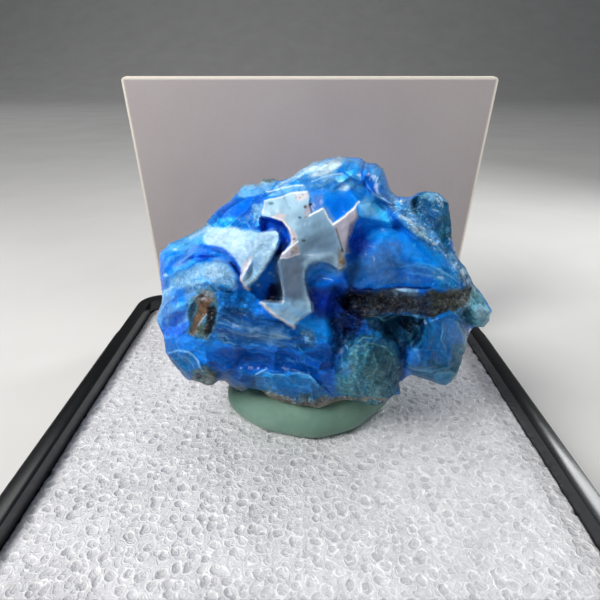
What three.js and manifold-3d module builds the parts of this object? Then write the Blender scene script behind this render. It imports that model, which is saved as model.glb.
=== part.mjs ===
// A thumbnail specimen of blue allophane, held by mineral putty on the foam pad of a small box base,
// with a pale card standing behind it. Millimetres, +Z up, front towards -Y.
// The origin is the centre of the base's underside.

import * as THREE from 'three';
import { mergeVertices } from 'three/addons/utils/BufferGeometryUtils.js';
import Module from 'manifold-3d';

const wasm = await Module();
wasm.setup();

// Driving dimensions of the base, its foam and the card
const INSIDE_WIDTH = 28.6;
const INSIDE_DEPTH = 27.8;
const LIP_THICKNESS = 1.0;
const LID_GROOVE = 1.9;
const OUTER_WALL = 0.9;
const FLOOR_THICKNESS = 1.2;
const OUTER_WALL_TOP = 3.6;
const LIP_TOP = 7.0;
const INSIDE_CORNER_RADIUS = 1.0;
const FOAM_TOP = 6.0;
const CLEARANCE = 0.3;
const CARD_WIDTH = 28.7;
const CARD_THICKNESS = 0.5;
const CARD_OFF_CENTRE = 0.75;
const CARD_FRONT_AT_LIP_TOP = 15.28;
const CARD_TOP_ABOVE_LIP = 19.3;
const CARD_LEAN = THREE.MathUtils.degToRad(6.5);
const CARD_CORNER_RADIUS = 0.3;

// Driving dimensions of the putty
const PUTTY_RADIUS = 5.5;
const PUTTY_DEPTH_SHARE = 0.93;
const PUTTY_HEIGHT = 2.6;
const PUTTY_CENTRE = new THREE.Vector2(0.6, 0.9);

// The stone is described as it looks from one viewpoint in front of it and a little above.
// Outlines are drawn on a sheet of glass that stands square to the line of sight at SHEET_DISTANCE:
// x to the right and y up from its centre.
const VIEWPOINT = new THREE.Vector3(0, -24.96, LIP_TOP + 19.2);
const VIEW_PITCH = THREE.MathUtils.degToRad(26.4);
const SHEET_DISTANCE = 28;

// The stone's outline lies in a nearly upright plane, which meets STANCE_FOOT and leans back
const STANCE_FOOT = new THREE.Vector3(0, -3.1, 8.2);
const STANCE_LEAN = THREE.MathUtils.degToRad(12);
const STONE_CENTRE = new THREE.Vector2(1.25, 0.95);
const FRONT_BULGE = 3.6;
const BACK_BULGE = 8.9;
const FRONT_RINGS = 26;
const UNDERSIDE_START = 3;
const UNDERSIDE_HEIGHT = 4;

const OUTLINE = [
  [-8.95, -1.25], [-8.6, 0.1], [-8.75, 1.95], [-8.7, 3], [-8.1, 3.55], [-7.1, 3.95], [-5.85, 4.65],
  [-5.5, 5.4], [-4.65, 5.95], [-3.85, 6.7], [-3.55, 7.1], [-2.5, 7.3], [-2.25, 7.55], [-1.55, 7.6],
  [-1.3, 7.45], [-0.55, 7.65], [0.85, 8.6], [1.75, 8.85], [2.85, 8.95], [3.75, 8.85],
  [4.1, 8.5], [4.75, 8.5], [5.2, 8.2], [5.35, 7.65], [5.6, 6.95], [6.05, 6.4], [6.9, 6.4],
  [7.35, 6.65], [7.9, 6.8], [8.6, 6.65], [9.2, 6.1], [9.4, 5.25], [9.45, 4], [9.7, 2.8], [10.35, 1.95],
  [10.9, 0.95], [11.5, 0.1], [11.9, -0.6], [11.8, -1.3], [11.45, -1.7], [10.75, -1.65], [10.55, -1.95],
  [10.25, -2.9], [10.05, -4.05], [9.45, -5.15], [9, -5.35], [7.9, -5], [6.9, -4.65], [6.6, -4.85],
  [6.2, -5.25], [6.2, -5.8], [5.75, -5.95], [5.3, -6.4], [4.75, -6.6], [3.75, -6.35], [2.2, -6.4],
  [1.2, -6.7], [-1.05, -6.4], [-1.8, -6.05], [-2.35, -5.7], [-3.1, -5.55],
  [-3.55, -5.7], [-4.25, -5.4], [-4.65, -5.05], [-5.05, -4.95], [-5.4, -5.3], [-5.7, -5.35],
  [-6.1, -5.15], [-6.95, -5], [-7.8, -4.1], [-8.4, -3.35], [-8.45, -2.2],
];

// Broken faces that stand proud of the front, or lie back from it: outline on the sheet, rise towards
// the viewpoint and how wide the step at the edge is
const FACES = {
  paleBand: {
    rise: 0.55,
    edge: 0.25,
    outline: [
      [-2.4, 5.5], [-2.1, 6.3], [0.4, 6.7], [0.8, 5.5], [1.4, 5.7], [2.3, 4], [2.9, 2], [2.4, 1.7],
      [1.4, 2.3], [0.5, 2], [0.5, 0.5], [0.7, -0.7], [-0.35, -1.7], [-2.4, -0.1], [-1.1, -0.1],
      [-1.45, 2.7], [-0.6, 3.7], [-1.1, 4.8],
    ],
  },
  roughPatch: {
    rise: 0.6,
    edge: 0.35,
    outline: [
      [-5.9, 3.7], [-5.5, 4.5], [-2.5, 4.2], [-1.3, 4.3], [-1.45, 3.1], [-2.6, 1.35], [-3.3, 0.8],
      [-3.7, 1.5], [-4.5, 2.7], [-5.7, 3.2],
    ],
  },
  deepHollow: {
    rise: -2.2,
    edge: 0.7,
    outline: [[-1.2, 3], [-1.9, 2.1], [-3, 0.8], [-2.4, -0.1], [-1.2, -0.2], [-1.1, 0.6], [-1.4, 2.2]],
  },
  notchBesideBand: {
    rise: -0.9,
    edge: 0.4,
    outline: [[-3.2, 5.3], [-1.4, 4.9], [-0.7, 4.1], [-1.3, 2.9], [-1.3, 4.1], [-3.1, 4.5], [-4.5, 4.9]],
  },
  granularLedge: {
    rise: -1.5,
    edge: 0.5,
    outline: [
      [2.4, 0.1], [4.5, 0.5], [6.2, 0.2], [8.7, 0.7], [10.6, 0.4], [9.6, -0.7], [8.6, -1.05], [6.5, -0.9],
      [4.8, -1.3], [3.2, -1],
    ],
  },
  bigRightFace: {
    rise: -0.7,
    edge: 0.8,
    outline: [[3, 4.6], [4.6, 5.2], [6, 4.9], [9.6, 1.2], [8.6, 0.7], [6.2, 0.4], [4.4, 0.6], [3, 1.4]],
  },
  rightBlock: {
    rise: 0.7,
    edge: 0.5,
    outline: [[6.4, -1.4], [8.6, -1.2], [10.3, -0.9], [10, -4], [9.2, -5.2], [6.9, -4.6], [6.2, -3.2]],
  },
  hollowBesideBlock: {
    rise: -1.3,
    edge: 0.5,
    outline: [[5, -1.3], [6.4, -1.2], [6.1, -3], [5.4, -2.4], [4.9, -1.9]],
  },
  topRightKnob: {
    rise: -1.6,
    edge: 0.5,
    outline: [[6, 6.4], [7, 6.6], [9, 6.8], [9.8, 5], [9.9, 2.6], [9.4, 2.4], [8, 3.8], [6.6, 5.3]],
  },
  farRightFlake: {
    rise: -0.9,
    edge: 0.4,
    outline: [[10.5, 1], [11.4, 0.6], [12.2, -0.6], [12, -1.9], [10.6, -2], [10.4, -0.6]],
  },
  lowerFlake: {
    rise: 0.6,
    edge: 0.3,
    outline: [[-2.8, -4.9], [-1.5, -4.6], [0, -4.6], [1.4, -4.9], [2.2, -5.6], [1.6, -6.2], [-1.6, -5.7]],
  },
};

// Rounded lumps and hollows: place, half sizes along and across, turn in degrees, rise in mm
const LUMPS = {
  leftLump: { at: [-6.3, 0], size: [2.9, 3.2], turn: 10, rise: 1.3 },
  rimOverInclusion: { at: [-6.1, 1.7], size: [2.2, 0.9], turn: 8, rise: 0.5 },
  inclusionPit: { at: [-6.1, -1.2], size: [0.75, 1.3], turn: 0, rise: -0.8 },
  silkyRib: { at: [-2.6, -2.0], size: [4.2, 0.7], turn: -9, rise: 0.6 },
  lowerHollow: { at: [-2.6, -3.8], size: [3.6, 0.9], turn: -4, rise: -0.8 },
  tealHump: { at: [4, -3.9], size: [2, 2.4], turn: 0, rise: 1.1 },
  topKnob: { at: [3.3, 8], size: [1.9, 1.1], turn: -10, rise: 0.7 },
  topSaddle: { at: [2.6, 6.9], size: [1.4, 0.5], turn: -25, rise: -0.5 },
  crestRib: { at: [7.4, 3.7], size: [4.4, 0.75], turn: -48, rise: 1.1 },
  upperLeftDip: { at: [-3.6, 5.6], size: [1.9, 0.7], turn: 38, rise: -0.6 },
  bandRoll: { at: [1.4, 2.6], size: [1.2, 0.6], turn: 10, rise: 0.5 },
  smallEye: { at: [1.3, 1.5], size: [0.9, 0.6], turn: 0, rise: -0.35 },
  rightKnobCrown: { at: [8.3, 5.4], size: [1.1, 1.5], turn: 15, rise: 0.9 },
};

// The back is broken off in flat faces: depth at the sheet's centre, slope to the right and upwards
const BACK_FACES = [
  [8.8, 0.1, 0.15],
  [8.4, -0.6, 0.2],
  [8.7, 0.55, -0.1],
  [8.9, 0.1, -0.5],
  [10.8, -0.1, -0.8],
];

const materials = {
  allophane: new THREE.MeshStandardMaterial({ color: '#2f7fc4', roughness: 0.35, metalness: 0 }),
  putty: new THREE.MeshStandardMaterial({ color: '#8fb3a2', roughness: 0.8, metalness: 0 }),
  foam: new THREE.MeshStandardMaterial({ color: '#eef0ee', roughness: 0.85, metalness: 0 }),
  tray: new THREE.MeshStandardMaterial({ color: '#101113', roughness: 0.3, metalness: 0 }),
  card: new THREE.MeshStandardMaterial({ color: '#b9b2a8', roughness: 0.85, metalness: 0 }),
};

const group = new THREE.Group();

function addPiece(name, geometry, material) {
  const mesh = new THREE.Mesh(geometry, material);
  mesh.name = name;
  group.add(mesh);
  return mesh;
}

// Solids and booleans

function toSolid(geometry) {
  const bare = geometry.clone();
  bare.deleteAttribute('normal');
  bare.deleteAttribute('uv');
  const merged = mergeVertices(bare, 1e-4);
  const vertProperties = Float32Array.from(merged.attributes.position.array);
  const triVerts = Uint32Array.from(merged.index.array);
  return new wasm.Manifold(new wasm.Mesh({ numProp: 3, vertProperties, triVerts }));
}

function toGeometry(solid) {
  const mesh = solid.getMesh();
  const geometry = new THREE.BufferGeometry();
  geometry.setAttribute('position', new THREE.BufferAttribute(Float32Array.from(mesh.vertProperties), 3));
  geometry.setIndex(new THREE.BufferAttribute(Uint32Array.from(mesh.triVerts), 1));
  geometry.computeVertexNormals();
  return geometry;
}

function roundedRectangle(path, width, depth, radius) {
  const x = width / 2;
  const y = depth / 2;
  path.moveTo(-x + radius, -y);
  path.lineTo(x - radius, -y);
  path.absarc(x - radius, -y + radius, radius, -Math.PI / 2, 0);
  path.lineTo(x, y - radius);
  path.absarc(x - radius, y - radius, radius, 0, Math.PI / 2);
  path.lineTo(-x + radius, y);
  path.absarc(-x + radius, y - radius, radius, Math.PI / 2, Math.PI);
  path.lineTo(-x, -y + radius);
  path.absarc(-x + radius, -y + radius, radius, Math.PI, Math.PI * 1.5);
  return path;
}

function upright(shape, bottom, top, bevel = 0) {
  const geometry = new THREE.ExtrudeGeometry(shape, {
    depth: top - bottom - 2 * bevel,
    curveSegments: 5,
    bevelEnabled: bevel > 0,
    bevelThickness: bevel,
    bevelSize: bevel,
    bevelOffset: -bevel,
    bevelSegments: 1,
  });
  return geometry.translate(0, 0, bottom + bevel);
}

// The base: a floor, a low outer wall and a higher inner lip, with the lid's groove between them

function wallRing(innerWidth, innerDepth, innerRadius, thickness, top) {
  const outer = [innerWidth + 2 * thickness, innerDepth + 2 * thickness, innerRadius + thickness];
  const ring = roundedRectangle(new THREE.Shape(), ...outer);
  ring.holes.push(roundedRectangle(new THREE.Path(), innerWidth, innerDepth, innerRadius));
  return upright(ring, FLOOR_THICKNESS / 2, top);
}

function makeTray() {
  const grooveReach = LIP_THICKNESS + LID_GROOVE;
  const outerReach = grooveReach + OUTER_WALL;
  const outer = [INSIDE_WIDTH + 2 * outerReach, INSIDE_DEPTH + 2 * outerReach];
  const plate = roundedRectangle(new THREE.Shape(), ...outer, INSIDE_CORNER_RADIUS + outerReach);
  const lip = wallRing(INSIDE_WIDTH, INSIDE_DEPTH, INSIDE_CORNER_RADIUS, LIP_THICKNESS, LIP_TOP);
  const groove = [INSIDE_WIDTH + 2 * grooveReach, INSIDE_DEPTH + 2 * grooveReach];
  const wall = wallRing(...groove, INSIDE_CORNER_RADIUS + grooveReach, OUTER_WALL, OUTER_WALL_TOP);
  const floor = toSolid(upright(plate, 0, FLOOR_THICKNESS));
  return toGeometry(floor.add(toSolid(lip)).add(toSolid(wall)));
}

function makeFoam() {
  const width = INSIDE_WIDTH - 2 * CLEARANCE;
  const depth = INSIDE_DEPTH - 2 * CLEARANCE;
  const square = roundedRectangle(new THREE.Shape(), width, depth, INSIDE_CORNER_RADIUS - CLEARANCE);
  return upright(square, FLOOR_THICKNESS + CLEARANCE, FOAM_TOP, 0.2);
}

// The card: square at the foot, rounded at its two upper corners, leaning over the base a little

function makeCard() {
  const foot = -(LIP_TOP - FLOOR_THICKNESS - CLEARANCE) / Math.cos(CARD_LEAN);
  const x = CARD_WIDTH / 2;
  const r = CARD_CORNER_RADIUS;
  const shape = new THREE.Shape();
  shape.moveTo(-x, foot);
  shape.lineTo(x, foot);
  shape.lineTo(x, CARD_TOP_ABOVE_LIP - r);
  shape.absarc(x - r, CARD_TOP_ABOVE_LIP - r, r, 0, Math.PI / 2);
  shape.lineTo(-x + r, CARD_TOP_ABOVE_LIP);
  shape.absarc(-x + r, CARD_TOP_ABOVE_LIP - r, r, Math.PI / 2, Math.PI);
  const settings = { depth: CARD_THICKNESS, curveSegments: 5, bevelEnabled: false };
  const geometry = new THREE.ExtrudeGeometry(shape, settings);
  geometry.translate(0, 0, -CARD_THICKNESS);
  geometry.rotateX(Math.PI / 2 + CARD_LEAN);
  return geometry.translate(CARD_OFF_CENTRE, CARD_FRONT_AT_LIP_TOP, LIP_TOP);
}

// The stone's surface, worked out on the sheet

function smoothStep(value) {
  const t = Math.min(1, Math.max(0, value));
  return t * t * (3 - 2 * t);
}

// How far a point lies inside an outline: above zero inside, below zero outside
function insetFrom(outline, x, y) {
  let nearest = Infinity;
  let inside = false;
  outline.forEach(([ax, ay], index) => {
    const [bx, by] = outline[(index + 1) % outline.length];
    const dx = bx - ax;
    const dy = by - ay;
    const along = ((x - ax) * dx + (y - ay) * dy) / (dx * dx + dy * dy);
    const t = Math.min(1, Math.max(0, along));
    nearest = Math.min(nearest, Math.hypot(x - ax - t * dx, y - ay - t * dy));
    if (ay > y !== by > y && x < ax + ((y - ay) / dy) * dx) inside = !inside;
  });
  return inside ? nearest : -nearest;
}

// Where a ray from the stone's centre leaves the outline
function outlineReach(angle) {
  const ux = Math.cos(angle);
  const uy = Math.sin(angle);
  let reach = 0;
  OUTLINE.forEach(([ax, ay], index) => {
    const [bx, by] = OUTLINE[(index + 1) % OUTLINE.length];
    const px = ax - STONE_CENTRE.x;
    const py = ay - STONE_CENTRE.y;
    const across = ux * (by - ay) - uy * (bx - ax);
    const distance = (px * (by - ay) - py * (bx - ax)) / across;
    const t = (px * uy - py * ux) / across;
    if (distance > 0 && t >= 0 && t <= 1) reach = Math.max(reach, distance);
  });
  return reach;
}

// Uneven broken texture: smooth random heights on a lattice of the given spacing
function lattice(i, j, seed) {
  const mixed = Math.sin(i * 127.1 + j * 311.7 + seed * 74.7) * 43758.5453;
  return 2 * (mixed - Math.floor(mixed)) - 1;
}

function roughness(x, y, spacing, seed) {
  const i = Math.floor(x / spacing);
  const j = Math.floor(y / spacing);
  const fx = smoothStep(x / spacing - i);
  const fy = smoothStep(y / spacing - j);
  const low = lattice(i, j, seed) * (1 - fx) + lattice(i + 1, j, seed) * fx;
  const high = lattice(i, j + 1, seed) * (1 - fx) + lattice(i + 1, j + 1, seed) * fx;
  return low * (1 - fy) + high * fy;
}

function frontRise(x, y, fromCentre) {
  const rim = Math.sqrt(Math.max(0, 1 - fromCentre ** 4));
  let rise = FRONT_BULGE;
  Object.values(FACES).forEach((face) => {
    rise += face.rise * smoothStep(0.5 + insetFrom(face.outline, x, y) / (2 * face.edge));
  });
  Object.values(LUMPS).forEach(({ at, size, turn, rise: height }) => {
    const angle = THREE.MathUtils.degToRad(turn);
    const along = (x - at[0]) * Math.cos(angle) + (y - at[1]) * Math.sin(angle);
    const across = (y - at[1]) * Math.cos(angle) - (x - at[0]) * Math.sin(angle);
    const apart = (along / size[0]) ** 2 + (across / size[1]) ** 2;
    rise += height * Math.max(0, 1 - apart) ** 2;
  });
  rise += 0.22 * roughness(x, y, 1.7, 1) + 0.12 * roughness(x, y, 0.8, 2);
  return rise * rim;
}

function backDepth(x, y, fromCentre) {
  const rim = Math.sqrt(Math.max(0, 1 - fromCentre ** 4));
  const flats = BACK_FACES.map(([depth, right, up]) => depth + right * x + up * y);
  const broken = Math.min(BACK_BULGE, ...flats);
  return (broken + 0.35 * roughness(x, y, 2.4, 3) + 0.15 * roughness(x, y, 1.1, 4)) * rim;
}

// A point of the outline's plane as seen through the sheet, then moved towards the viewpoint on the
// front, or away from it on the back, where the underside runs level instead of along the sight line
function placeOnStone(x, y, front, fromCentre) {
  const level = new THREE.Vector3(0, Math.cos(VIEW_PITCH), -Math.sin(VIEW_PITCH));
  const up = new THREE.Vector3(0, Math.sin(VIEW_PITCH), Math.cos(VIEW_PITCH));
  const sight = new THREE.Vector3(x, 0, 0).addScaledVector(up, y).addScaledVector(level, SHEET_DISTANCE);
  const normal = new THREE.Vector3(0, Math.cos(STANCE_LEAN), -Math.sin(STANCE_LEAN));
  const reach = STANCE_FOOT.clone().sub(VIEWPOINT).dot(normal) / sight.dot(normal);
  const point = VIEWPOINT.clone().addScaledVector(sight, reach);
  if (front) {
    return point.addScaledVector(sight.normalize(), -frontRise(x, y, fromCentre));
  }
  const sightSlope = Math.tan(VIEW_PITCH - Math.atan(Math.max(0, y) / SHEET_DISTANCE));
  const slope = sightSlope * (1 - smoothStep((-y - UNDERSIDE_START) / UNDERSIDE_HEIGHT));
  const along = x / SHEET_DISTANCE;
  const away = new THREE.Vector3(along, 1, -slope).normalize();
  return point.addScaledVector(away, backDepth(x, y, fromCentre));
}

// A round grid of rings, with six more points on each ring than on the ring inside it, is stretched
// to the outline. The back has half as many rings and is sewn to the front's rim.
function makeStone() {
  const positions = [];
  const triangles = [];
  const pull = (ring, rings) => Math.sin((ring / rings) * Math.PI * 0.5) ** 0.85;

  function addRing(ring, rings, front) {
    const first = positions.length / 3;
    const count = Math.max(1, ring * 6);
    const fromCentre = pull(ring, rings);
    for (let step = 0; step < count; step += 1) {
      const angle = (step / count) * 2 * Math.PI;
      const reach = outlineReach(angle) * fromCentre;
      const x = STONE_CENTRE.x + reach * Math.cos(angle);
      const y = STONE_CENTRE.y + reach * Math.sin(angle);
      const point = placeOnStone(x, y, front, fromCentre);
      positions.push(point.x, point.y, point.z);
    }
    return first;
  }

  function addTriangle(a, b, c, front) {
    triangles.push(...(front ? [a, b, c] : [a, c, b]));
  }

  function sewRings(inner, innerCount, outer, outerCount, front) {
    const sectors = 6;
    const innerSteps = innerCount / sectors;
    const outerSteps = outerCount / sectors;
    for (let sector = 0; sector < sectors; sector += 1) {
      let i = 0;
      let o = 0;
      while (i < innerSteps || o < outerSteps) {
        const inPoint = inner + ((sector * innerSteps + i) % innerCount);
        const outPoint = outer + ((sector * outerSteps + o) % outerCount);
        const growOuter = i >= innerSteps || (o + 1) / outerSteps <= (i + 1) / innerSteps + 1e-9;
        if (growOuter && o < outerSteps) {
          addTriangle(inPoint, outPoint, outer + ((sector * outerSteps + o + 1) % outerCount), front);
          o += 1;
        } else {
          addTriangle(inPoint, outPoint, inner + ((sector * innerSteps + i + 1) % innerCount), front);
          i += 1;
        }
      }
    }
  }

  function fillFromCentre(rings, front) {
    const centre = addRing(0, rings, front);
    let inner = addRing(1, rings, front);
    for (let step = 0; step < 6; step += 1) {
      addTriangle(centre, inner + step, inner + ((step + 1) % 6), front);
    }
    for (let ring = 2; ring <= rings; ring += 1) {
      if (!front && ring === rings) break;
      const outer = addRing(ring, rings, front);
      sewRings(inner, (ring - 1) * 6, outer, ring * 6, front);
      inner = outer;
    }
    return inner;
  }

  const rim = fillFromCentre(FRONT_RINGS, true);
  const backRings = FRONT_RINGS / 2;
  const lastBackRing = fillFromCentre(backRings, false);
  sewRings(lastBackRing, (backRings - 1) * 6, rim, FRONT_RINGS * 6, false);

  const geometry = new THREE.BufferGeometry();
  geometry.setAttribute('position', new THREE.Float32BufferAttribute(positions, 3));
  geometry.setIndex(triangles);
  geometry.computeVertexNormals();
  return geometry;
}

// The putty: a squashed ball with an uneven edge, pressed into the shape of the stone on top of it

function makePutty(stone) {
  const bottom = FOAM_TOP + CLEARANCE;
  const height = PUTTY_HEIGHT - CLEARANCE;
  const profile = [new THREE.Vector2(0, 0)];
  const bend = new THREE.EllipseCurve(PUTTY_RADIUS * 0.72, height / 2, PUTTY_RADIUS * 0.28, height / 2,
    -Math.PI / 2, Math.PI / 2, false, 0);
  profile.push(...bend.getPoints(8), new THREE.Vector2(0, height));
  const dab = new THREE.LatheGeometry(profile, 40).rotateX(Math.PI / 2);
  dab.translate(PUTTY_CENTRE.x, PUTTY_CENTRE.y, bottom);
  const spot = dab.attributes.position;
  for (let index = 0; index < spot.count; index += 1) {
    const dx = spot.getX(index) - PUTTY_CENTRE.x;
    const dy = spot.getY(index) - PUTTY_CENTRE.y;
    const angle = Math.atan2(dy, dx);
    const swell = 1 + 0.025 * Math.sin(2 * angle + 0.6) + 0.018 * Math.sin(5 * angle + 2);
    spot.setXY(index, PUTTY_CENTRE.x + dx * swell, PUTTY_CENTRE.y + dy * swell * PUTTY_DEPTH_SHARE);
  }
  let cutter = toSolid(stone);
  const steps = [[0, 0, -CLEARANCE], [0, -CLEARANCE, 0], [CLEARANCE, 0, 0], [-CLEARANCE, 0, 0]];
  steps.forEach((step) => {
    cutter = cutter.add(toSolid(stone.clone().translate(...step)));
  });
  return toGeometry(toSolid(dab).subtract(cutter));
}

const stone = makeStone();
addPiece('tray', makeTray(), materials.tray);
addPiece('foam_pad', makeFoam(), materials.foam);
addPiece('putty', makePutty(stone), materials.putty);
addPiece('allophane', stone, materials.allophane);
addPiece('backing_card', makeCard(), materials.card);

export default group;
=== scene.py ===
import math

import bmesh
import bpy
import numpy as np
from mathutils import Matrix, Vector


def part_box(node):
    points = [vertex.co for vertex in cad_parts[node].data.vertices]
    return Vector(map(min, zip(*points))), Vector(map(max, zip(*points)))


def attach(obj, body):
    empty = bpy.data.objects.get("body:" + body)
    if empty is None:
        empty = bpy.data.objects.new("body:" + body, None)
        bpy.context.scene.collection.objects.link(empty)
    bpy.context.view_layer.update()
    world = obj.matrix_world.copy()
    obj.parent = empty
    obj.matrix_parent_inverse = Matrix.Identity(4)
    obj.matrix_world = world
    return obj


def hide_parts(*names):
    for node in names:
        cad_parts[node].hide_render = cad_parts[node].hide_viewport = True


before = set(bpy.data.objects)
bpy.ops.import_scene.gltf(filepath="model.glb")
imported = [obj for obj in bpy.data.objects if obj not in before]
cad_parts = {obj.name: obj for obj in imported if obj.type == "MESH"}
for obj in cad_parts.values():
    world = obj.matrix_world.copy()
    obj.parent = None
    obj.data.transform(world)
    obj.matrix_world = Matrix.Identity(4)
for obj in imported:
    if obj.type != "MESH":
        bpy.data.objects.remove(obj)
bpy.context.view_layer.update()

MM = 0.001
BLACK = (0, 0, 0, 1)
WHITE = (1, 1, 1, 1)


# The box base
# One piece of injection-moulded black polystyrene: a floor, a low outer wall, the lid's groove and a
# higher inner lip. It is smooth and glossy, with slightly rounded edges and fine handling scratches.

def hex_colour(code):
    """A colour written as the eye sees it, turned into the linear values that shaders use."""
    parts = [int(code[i:i + 2], 16) / 255 for i in (1, 3, 5)]
    linear = [p / 12.92 if p <= 0.04045 else ((p + 0.055) / 1.055) ** 2.4 for p in parts]
    return (*linear, 1.0)


def add_node(tree, kind, settings=None, **sockets):
    """Adds a node. A socket is given by its name with _ for each space, or as i and its number, and its
    value is a constant or another node's output."""
    made = tree.nodes.new(kind)
    for key, value in (settings or {}).items():
        setattr(made, key, value)
    for key, value in sockets.items():
        wanted = key.replace("_", " ")
        numbered = wanted[0] == "i" and wanted[1:].isdigit()
        socket = made.inputs[int(wanted[1:]) if numbered else wanted]
        if isinstance(value, bpy.types.NodeSocket):
            tree.links.new(value, socket)
        else:
            socket.default_value = value
    return made


def new_material(name, **constants):
    """A material with its Principled shader, whose constants are set straight on its sockets."""
    made = bpy.data.materials.new(name)
    made.use_nodes = True
    shader = made.node_tree.nodes["Principled BSDF"]
    for key, value in constants.items():
        shader.inputs[key.replace("_", " ")].default_value = value
    return made, made.node_tree, shader


def ramp(tree, factor, stops):
    """A colour ramp with (position, colour) stops."""
    made = add_node(tree, "ShaderNodeValToRGB", Fac=factor)
    band = made.color_ramp
    while len(band.elements) < len(stops):
        band.elements.new(0.5)
    for element, (position, colour) in zip(band.elements, stops):
        element.position = position
        element.color = colour
    return made.outputs["Color"]


def rising(tree, factor, start, end):
    """A factor's share of the way from start to end, from 0 to 1."""
    return ramp(tree, factor, [(start, BLACK), (end, WHITE)])


def falling(tree, factor, start, end):
    return ramp(tree, factor, [(start, WHITE), (end, BLACK)])


def mapped(tree, vector, scale=(1, 1, 1), turn=(0, 0, 0)):
    return add_node(tree, "ShaderNodeMapping", Vector=vector, Scale=scale, Rotation=turn).outputs["Vector"]


def noise(tree, vector, scale, detail, roughness=0.55, distortion=0.0):
    return add_node(tree, "ShaderNodeTexNoise", Vector=vector, Scale=scale, Detail=detail,
                    Roughness=roughness, Distortion=distortion).outputs["Fac"]


def blend_colours(tree, factor, first, second, mode="MIX"):
    settings = {"data_type": "RGBA", "blend_type": mode}
    return add_node(tree, "ShaderNodeMix", settings, i0=factor, i6=first, i7=second).outputs[2]


def maths(tree, operation, first, second=0.5, clamp=False):
    settings = {"operation": operation, "use_clamp": clamp}
    return add_node(tree, "ShaderNodeMath", settings, i0=first, i1=second).outputs[0]


def plus(tree, first, second, clamp=False):
    return maths(tree, "ADD", first, second, clamp)


def minus(tree, first, second, clamp=False):
    return maths(tree, "SUBTRACT", first, second, clamp)


def times(tree, first, second, clamp=False):
    return maths(tree, "MULTIPLY", first, second, clamp)


def bump(tree, height, strength, distance):
    made = add_node(tree, "ShaderNodeBump", Height=height, Strength=strength, Distance=distance)
    return made.outputs["Normal"]


def object_space(tree):
    return add_node(tree, "ShaderNodeTexCoord").outputs["Object"]


def finish_piece(piece, node, material):
    """Puts a finished piece in the place of its frame node, on the one rigid body."""
    piece.data.materials.clear()
    piece.data.materials.append(material)
    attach(piece, "root")
    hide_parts(node)
    return piece


def mesh_piece(name, vertices, faces):
    mesh = bpy.data.meshes.new(name)
    mesh.from_pydata([tuple(v) for v in vertices], [], [tuple(f) for f in faces])
    mesh.validate()
    mesh.shade_smooth()
    piece = bpy.data.objects.new(name, mesh)
    bpy.context.collection.objects.link(piece)
    return piece


def copy_of_node(node, name):
    """A copy of a frame node whose doubled corner points are merged and whose flat faces are whole."""
    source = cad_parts[node]
    mesh = bpy.data.meshes.new(name)
    work = bmesh.new()
    work.from_mesh(source.data)
    bmesh.ops.remove_doubles(work, verts=work.verts, dist=0.001 * MM)
    bmesh.ops.dissolve_limit(work, angle_limit=math.radians(1), verts=work.verts, edges=work.edges)
    work.to_mesh(mesh)
    work.free()
    piece = bpy.data.objects.new(name, mesh)
    bpy.context.collection.objects.link(piece)
    return piece


def apply_modifiers(piece):
    """Bakes a piece's modifiers into its mesh, and takes them off it."""
    bpy.context.view_layer.update()
    evaluated = piece.evaluated_get(bpy.context.evaluated_depsgraph_get())
    mesh = bpy.data.meshes.new_from_object(evaluated)
    mesh.name = piece.name
    piece.modifiers.clear()
    piece.data = mesh
    return piece


def rounded_edges(piece, width):
    bevel = piece.modifiers.new("Bevel", "BEVEL")
    bevel.width = width
    bevel.segments = 3
    bevel.limit_method = "ANGLE"
    bevel.angle_limit = math.radians(40)
    bevel.harden_normals = True
    piece.data.shade_smooth()
    return apply_modifiers(piece)


def box_plastic():
    material, tree, shader = new_material("box_plastic", Base_Color=hex_colour("#0b0c0e"), Roughness=0.22,
                                          IOR=1.55, Coat_Weight=0.2, Coat_Roughness=0.12)
    place = object_space(tree)
    haze = noise(tree, place, 90, detail=6)
    scratches = noise(tree, mapped(tree, place, scale=(60, 900, 400), turn=(0, 0, 0.5)), 6, detail=3)
    tint = ramp(tree, haze, [(0.3, hex_colour("#08090a")), (0.8, hex_colour("#15171a"))])
    tree.links.new(tint, shader.inputs["Base Color"])
    rough = ramp(tree, haze, [(0.3, (0.16, 0.16, 0.16, 1)), (0.75, (0.34, 0.34, 0.34, 1))])
    tree.links.new(rough, shader.inputs["Roughness"])
    moulding = noise(tree, place, 260, detail=3)
    tree.links.new(bump(tree, plus(tree, times(tree, scratches, 0.4), moulding),
                        0.12, 0.02 * MM), shader.inputs["Normal"])
    return material


tray = rounded_edges(copy_of_node("tray", "tray_visual"), 0.14 * MM)
finish_piece(tray, "tray", box_plastic())


# The foam pad
# A square of white closed-cell foam, cut to lie in the base. The cut opens its bubbles, so the top is
# a field of small pits with thin shining walls between them; bigger bubbles lie among small ones.

FOAM_REACH = 0.24 * MM
FOAM_GRID = 0.098 * MM
FOAM_BUBBLES = 1500.0
SMALL_BUBBLES = 1.75
FOAM_SEED = 4.0
PIT_DEPTH = 0.12 * MM
INSIDE_CORNER = 1.0 * MM


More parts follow.
